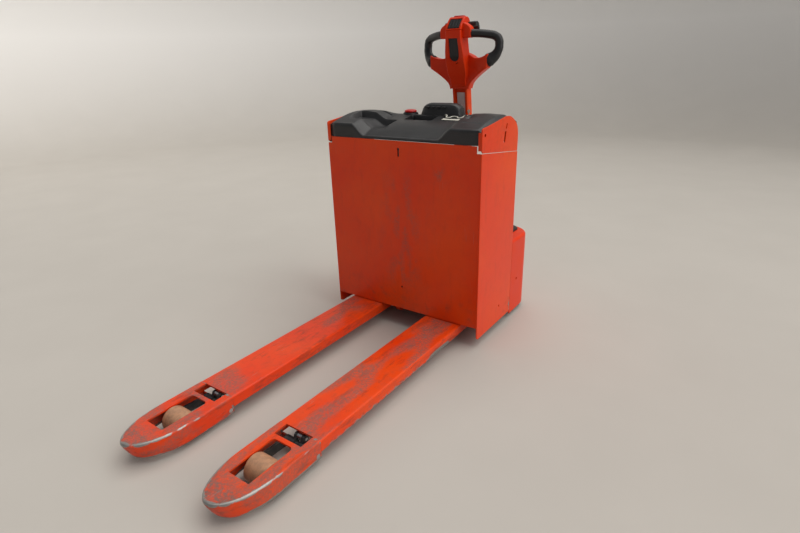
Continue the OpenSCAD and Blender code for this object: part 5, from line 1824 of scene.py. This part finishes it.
# %% Throttle wings
WING = [(-8, -6), (0, -8.5), (8, -6), (15, -14), (22, -24), (27, -24), (30, -20), (27, -7), (20, 6),
        (13, 10.5), (6, 12), (-2, 11), (-7, 7.5)]
wings = []
for a, b in ((-0.052, -0.024), (0.024, 0.052)):
    wings.append(lathe("axle", [(a, 0.0), (a, 0.0089), (b, 0.0089), (b, 0.0)], throttle_axis, "X", 32))
rib_outline = rounded_rect(-1.4, 1.4, -9, 9, 1.2, 3)
for side in (-1, 1):
    wing = solid_from_outline("wing", WING, lambda u, v, t: head(side * (37.6 + t), -8 + u, 214 + v), 38)
    soften(wing, 3.2, 4, 35)
    wings.append(wing)
    for k in range(4):
        rib = solid_from_outline("wing_rib", rib_outline,
                                 lambda u, v, t: head(side * (46 + 8 * k + u), 14.5 + 0.45 * v + t * 0.8,
                                                      207 - v * 0.95 + t * 0.45), 3.2)
        wings.append(soften(rib, 0.5, 2))
throttle = settle(join("throttle_wings", wings), black_plastic, "moulding_black", "throttle", angle=45)
print("throttle:", len(throttle.data.polygons), "faces")

# %% [markdown]
# ### Horn, lift rocker and belly pad
# The horn is a turned button. The rocker that lifts and lowers the forks and the red pad that stops
# the truck when it meets the driver have their real shape in the frame already. They only need
# softer edges.

# %% Horn, lift rocker and belly pad
horn_low, horn_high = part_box("horn_button")
horn_length = horn_high.y - horn_low.y
horn_profile = [(0.0, 0.0), (0.0, 0.0119), (horn_length - 0.0022, 0.0119), (horn_length - 0.0008, 0.0108),
                (horn_length - 0.0014, 0.0070), (horn_length - 0.0019, 0.0)]
horn = lathe("horn_dome", horn_profile, Vector((0, horn_low.y, (horn_low.z + horn_high.z) / 2)), "Y", 40)
settle(horn, black_plastic, "moulding_black", "horn_button", angle=45)
SWITCHES = [("lift_rocker", "rocker_key", 1.4, black_plastic, "moulding_black"),
            ("belly_button", "belly_pad", 4.5, button_red, "button_red")]
for node, name, width, finish, slot_name in SWITCHES:
    switch = from_cad(node, name, width, 4)
    paint_wear(switch, lambda p: 0.2)
    settle(switch, finish, slot_name, node)
    print(switch.name, len(switch.data.polygons), "faces")

# %% [markdown]
# ## Wheels and what turns with them
# Wheels are turned shapes: one profile swept round the axle. A load roller carries most of the load
# on a small tan tread with chamfered edges and dished ends.

# %% Load rollers
def axle_of(node):
    low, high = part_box(node)
    return (low + high) / 2


def roller_profile(half, radius, bore):
    right = [(half * 0.3, radius), (half - 5, radius - 0.1), (half - 1.6, radius - 1.6), (half, radius - 4.5),
             (half, radius - 10), (half - 2.5, radius - 11.5), (half - 2.5, bore + 8.5), (half, bore + 7),
             (half, bore)]
    return [(-along, r) for along, r in right[::-1]] + right


for node in ("load_roller_left", "load_roller_right"):
    middle = axle_of(node)
    x0, x1, _, _, z0, z1 = size_mm(node)
    profile = [(a * MM, r * MM) for a, r in roller_profile((x1 - x0) / 2, (z1 - z0) / 2, 10.06)]
    roller = lathe(node.replace("load_", "") + "_tread", profile, middle, "X", 80)
    paint_wear(roller, lambda p: 0.4)
    settle(roller, tan_roller, "polyurethane_tan", node, angle=30)
    print(roller.name, len(roller.data.polygons), "faces")

# %% [markdown]
# ### Load arms and rocker shaft
# These welded levers push the rollers down as the forks rise. Their shape in the frame is already
# right, so they are copied and their edges rounded like those of flame-cut plate.

# %% Load arms and rocker shaft
LEVERS = [("load_arm_left", "load_arm_left_bars", 2.4), ("load_arm_right", "load_arm_right_bars", 2.4),
          ("rocker_shaft", "rocker_levers", 1.6)]
for node, name, width in LEVERS:
    lever = from_cad(node, name, width, 3)
    settle(paint_wear(lever, lambda p: 0.3), cast_dark, "lacquer_dark", node)
    print(lever.name, len(lever.data.polygons), "faces")

# %% [markdown]
# ### Drive tyre
# The tyre is a dark band on an iron hub, with three shallow grooves turned into its tread.

# %% Drive tyre
tyre_box = size_mm("drive_tyre")
wheel_middle = axle_of("drive_tyre")
tyre_half, tyre_radius = (tyre_box[1] - tyre_box[0]) / 2, (tyre_box[5] - tyre_box[4]) / 2
tyre_edge = [(tyre_half - 7, tyre_radius - 0.3), (tyre_half - 2.2, tyre_radius - 2.4),
             (tyre_half, tyre_radius - 7), (tyre_half, tyre_radius - 32)]
tread = [(-x, r) for x, r in tyre_edge[::-1]]
for x in (-22, 0, 22):
    tread += [(x - 3.4, tyre_radius), (x - 2.2, tyre_radius - 3.2),
              (x + 2.2, tyre_radius - 3.2), (x + 3.4, tyre_radius)]
tread += tyre_edge
tyre = lathe("tyre_tread", [(a * MM, r * MM) for a, r in tread], wheel_middle, "X", 128)
settle(paint_wear(tyre, lambda p: 0.3), dark_tread, "polyurethane_dark", "drive_tyre", angle=30)
print("tyre radius", round(tyre_radius), "mm")

# %% [markdown]
# ### Hub and bolts
# Seven bolts hold the hub. A bolt head is a lathe with six steps, which gives its hexagon, and a
# grease cap covers the middle.

# %% Hub and bolts
BOLTS = 7
BOLT_CIRCLE = 0.040
bolt_profile = [(0.006, 0.0), (0.006, 0.0088), (0.0165, 0.0088), (0.018, 0.0074), (0.018, 0.0)]
cap_profile = [(0.006, 0.0), (0.006, 0.0278), (0.0185, 0.0278), (0.0215, 0.0245), (0.022, 0.018),
               (0.022, 0.0)]
hub = from_cad("wheel_hub", "hub_casting", 1.6, 3)
settle(paint_wear(hub, lambda p: 0.2), dull_steel, "steel", "wheel_hub", angle=35)
heads = []
for k in range(BOLTS):
    turn = 2 * math.pi * k / BOLTS
    centre = wheel_middle + Vector((0, BOLT_CIRCLE * math.sin(turn), BOLT_CIRCLE * math.cos(turn)))
    heads.append(lathe("bolt_head", bolt_profile, centre, "X", 6))
heads.append(lathe("hub_cap", cap_profile, wheel_middle, "X", 48))
bolts = join("bolt_ring", heads)
settle(soften(bolts, 0.5, 2), zinc, "steel", "wheel_bolts", angle=35)
print("bolts:", BOLTS)

# %% [markdown]
# ### Castors
# Two castors steady the truck beside the drive wheel. The wheels are lathes, and the plated forks
# keep the bent-plate shape of their nodes.

# %% Castors
for side in ("left", "right"):
    middle = axle_of("castor_wheel_" + side)
    castor_box = size_mm("castor_wheel_" + side)
    castor_r = (castor_box[5] - castor_box[4]) / 2
    right = [(6, castor_r), (12, castor_r - 1.2), (15.6, castor_r - 6), (15, 35), (10.5, 33), (10.5, 15),
             (16, 14), (16, 7.06)]
    profile = [(-along, r) for along, r in right[::-1]] + right
    wheel = lathe("castor_tread_" + side, [(a * MM, r * MM) for a, r in profile], middle, "X", 64)
    settle(paint_wear(wheel, lambda p: 0.3), dark_tread, "polyurethane_dark", "castor_wheel_" + side,
           angle=30)
    fork_piece = from_cad("castor_fork_" + side, "castor_yoke_" + side, 1.4, 3)
    settle(paint_wear(fork_piece, lambda p: 0.2), zinc, "steel", "castor_fork_" + side)
print("castor radius", round(castor_r), "mm")

# %% [markdown]
# ### Drive motor
# The motor stands on the turntable above the wheel. Its can is turned. The cooling ribs run up its
# side, which one lathe profile could not give, so each rib is its own small plate.

# %% Drive motor
RIBS = 40
motor_box = size_mm("drive_motor")
motor_x, motor_y = (motor_box[0] + motor_box[1]) / 2, (motor_box[2] + motor_box[3]) / 2
foot_z, motor_r = motor_box[4], (motor_box[1] - motor_box[0]) / 2
can = [(0, 0.0), (0, motor_r), (7, motor_r), (8, motor_r - 6), (120, motor_r - 6), (121, motor_r),
       (134, motor_r), (137, motor_r - 2), (150, motor_r - 3), (150, 50), (176, 50), (178, 48), (178, 40),
       (182.5, 39), (184, 36), (184, 0.0)]
can_profile = [((foot_z + a) * MM, r * MM) for a, r in can]
motor_rib = [(motor_r - 8, 6), (motor_r - 0.6, 6), (motor_r - 0.6, 122), (motor_r - 8, 122)]
motor_foot = at(motor_x, motor_y, foot_z)
pieces = [lathe("can", can_profile, at(motor_x, motor_y, 0), "Z", 72)]
for k in range(RIBS):
    turn = math.radians(360 / RIBS * k)
    out = Vector((math.cos(turn), math.sin(turn), 0))
    along = Vector((-math.sin(turn), math.cos(turn), 0))
    up = Vector((0, 0, 1))
    pieces.append(solid_from_outline(
        "rib", motor_rib, lambda u, v, t: motor_foot + out * u * MM + up * v * MM + along * (t - 1) * MM, 2))
motor = join("motor_ribbed", pieces)
settle(paint_wear(motor, lambda p: 0.2), cast_dark, "lacquer_dark", "drive_motor", angle=35)
print("motor:", len(motor.data.polygons), "faces")

# %% [markdown]
# ### Terminal box
# The cables of the motor end at three studs on a small black box.

# %% Terminal box
box_y = motor_y - motor_r - 13
box_parts = [solid_from_outline("terminal_box", rounded_rect(-22, 22, 40, 92, 5),
                                lambda u, v, t: at(u, box_y + t, foot_z + v), 15)]
for x in (-12, 0, 12):
    box_parts.append(lathe("stud", [(-0.008, 0.0), (-0.008, 0.0035), (0.001, 0.0035), (0.001, 0.0)],
                           at(x, box_y, foot_z + 66), "Y", 6))
terminals = join("terminal_box", box_parts)
settle(soften(terminals, 1.2, 3), black_plastic, "moulding_black", body="steering")
print("terminal box:", len(terminals.data.polygons), "faces")

# %% [markdown]
# ### Gearbox and tiller bracket
# The gearbox is a casting, so its edges get the wide rounding of a sand mould. The bracket is welded
# from plate and keeps crisper edges.

# %% Gearbox and tiller bracket
for node, name, width in (("gearbox", "gearbox_casting", 4), ("tiller_bracket", "bracket_plates", 2)):
    piece = from_cad(node, name, width, 4)
    settle(paint_wear(piece, lambda p: 0.2), cast_dark, "lacquer_dark", node)
    print(piece.name, len(piece.data.polygons), "faces")

# %% [markdown]
# ### Battery
# The battery fills the box under the hood: a grey steel tray with rows of cells. Red vent plugs and
# lead links on top show when the hood is open. The place by the plug is left free of them.

# %% Battery
CELLS = 12
CELL_STEP = 52
vent_profile = [(-0.001, 0.0), (-0.001, 0.013), (0.004, 0.013), (0.0055, 0.0115), (0.0055, 0.007),
                (0.011, 0.006), (0.012, 0.004), (0.012, 0.0)]
battery_box = size_mm("battery")
case = from_cad("battery", "battery_tray", 2.0, 3)
settle(paint_wear(case, lambda p: 0.2), battery_grey, "battery_case", "battery")
vents, links = [], []
cell_z = battery_box[5] - 18
for i in range(CELLS):
    for j in range(2):
        place = at(-286 + CELL_STEP * i, battery_box[2] + 56 + 98 * j, cell_z)
        if -320 < place.x / MM < -205 and j == 0:
            continue
        vents.append(lathe("vent", vent_profile, place, "Z", 24))
for i in range(2, CELLS - 1):
    links.append(solid_from_outline(
        "link", rounded_rect(-20, 20, -7, 7, 6),
        lambda u, v, t: at(-260 + CELL_STEP * i + u, battery_box[2] + 84 + v, cell_z + t), 4))
settle(join("battery_vents", vents), red_plastic, "moulding_red", body="fork_carriage", angle=35)
settle(soften(join("battery_links", links), 0.8, 2), dull_steel, "steel", body="fork_carriage")
print("battery:", len(vents), "vents,", len(links), "links")

# %% [markdown]
# ### Battery plug
# The red plug has its shape in the frame. Moulded housings have wide roundings, so it gets 3 mm.

# %% Battery plug
plug = from_cad("battery_connector", "plug_housing", 3, 4)
settle(paint_wear(plug, lambda p: 0.1), button_red, "button_red", "battery_connector")
print("plug:", len(plug.data.polygons), "faces")

# %% [markdown]
# ## Pieces that keep their CAD shape
# What sits inside needs no new shape, only rounded edges and its real finish. A loop over the
# finishes makes a softened copy of each node.

# %% Softened CAD nodes
SOFTENED = {
    "lacquer_red": (enamel_body, ["heel_frame", "bulkhead"]),
    "lacquer_dark": (frame_dark, ["drive_frame", "controller", "hydraulic_unit", "lift_barrel"]),
    "steel": (bright_steel, ["lift_rod", "hood_hinges", "arm_pivot_pins", "bearing_ring", "turntable",
                             "tiller_pin", "push_rod_left", "push_rod_right"]),
    "nylon": (nylon, ["guide_shoes"]),
}
for slot_name, (finish, nodes) in SOFTENED.items():
    for node in nodes:
        copy = from_cad(node, "soft_" + node, 1.0, 2)
        settle(paint_wear(copy, lambda p: 0.1), finish, slot_name, node)
print("softened nodes:", sum(len(nodes) for _, nodes in SOFTENED.values()))

# %% [markdown]
# ### Finishes of the nodes
# Every node takes the finish of its own slot, so that one that is still shown looks right as well.

# %% Finishes of the nodes
SLOT_FINISH = {
    "lacquer_red": enamel_body, "lacquer_dark": cast_dark, "steel": dull_steel, "plate": label_grey,
    "moulding_black": black_plastic, "moulding_red": red_plastic, "button_red": button_red, "screen": screen,
    "polyurethane_tan": tan_roller, "polyurethane_dark": dark_tread, "battery_case": battery_grey,
    "nylon": nylon,
}
plain_nodes = []
for part in frame["record"]["subparts"]:
    node = frame["nodes"][part["node"]]
    node.data.materials.clear()
    node.data.materials.append(SLOT_FINISH[part["material_slot"]])
    if not node.hide_render:
        plain_nodes.append(node.name)
print("nodes shown as packed:", plain_nodes)
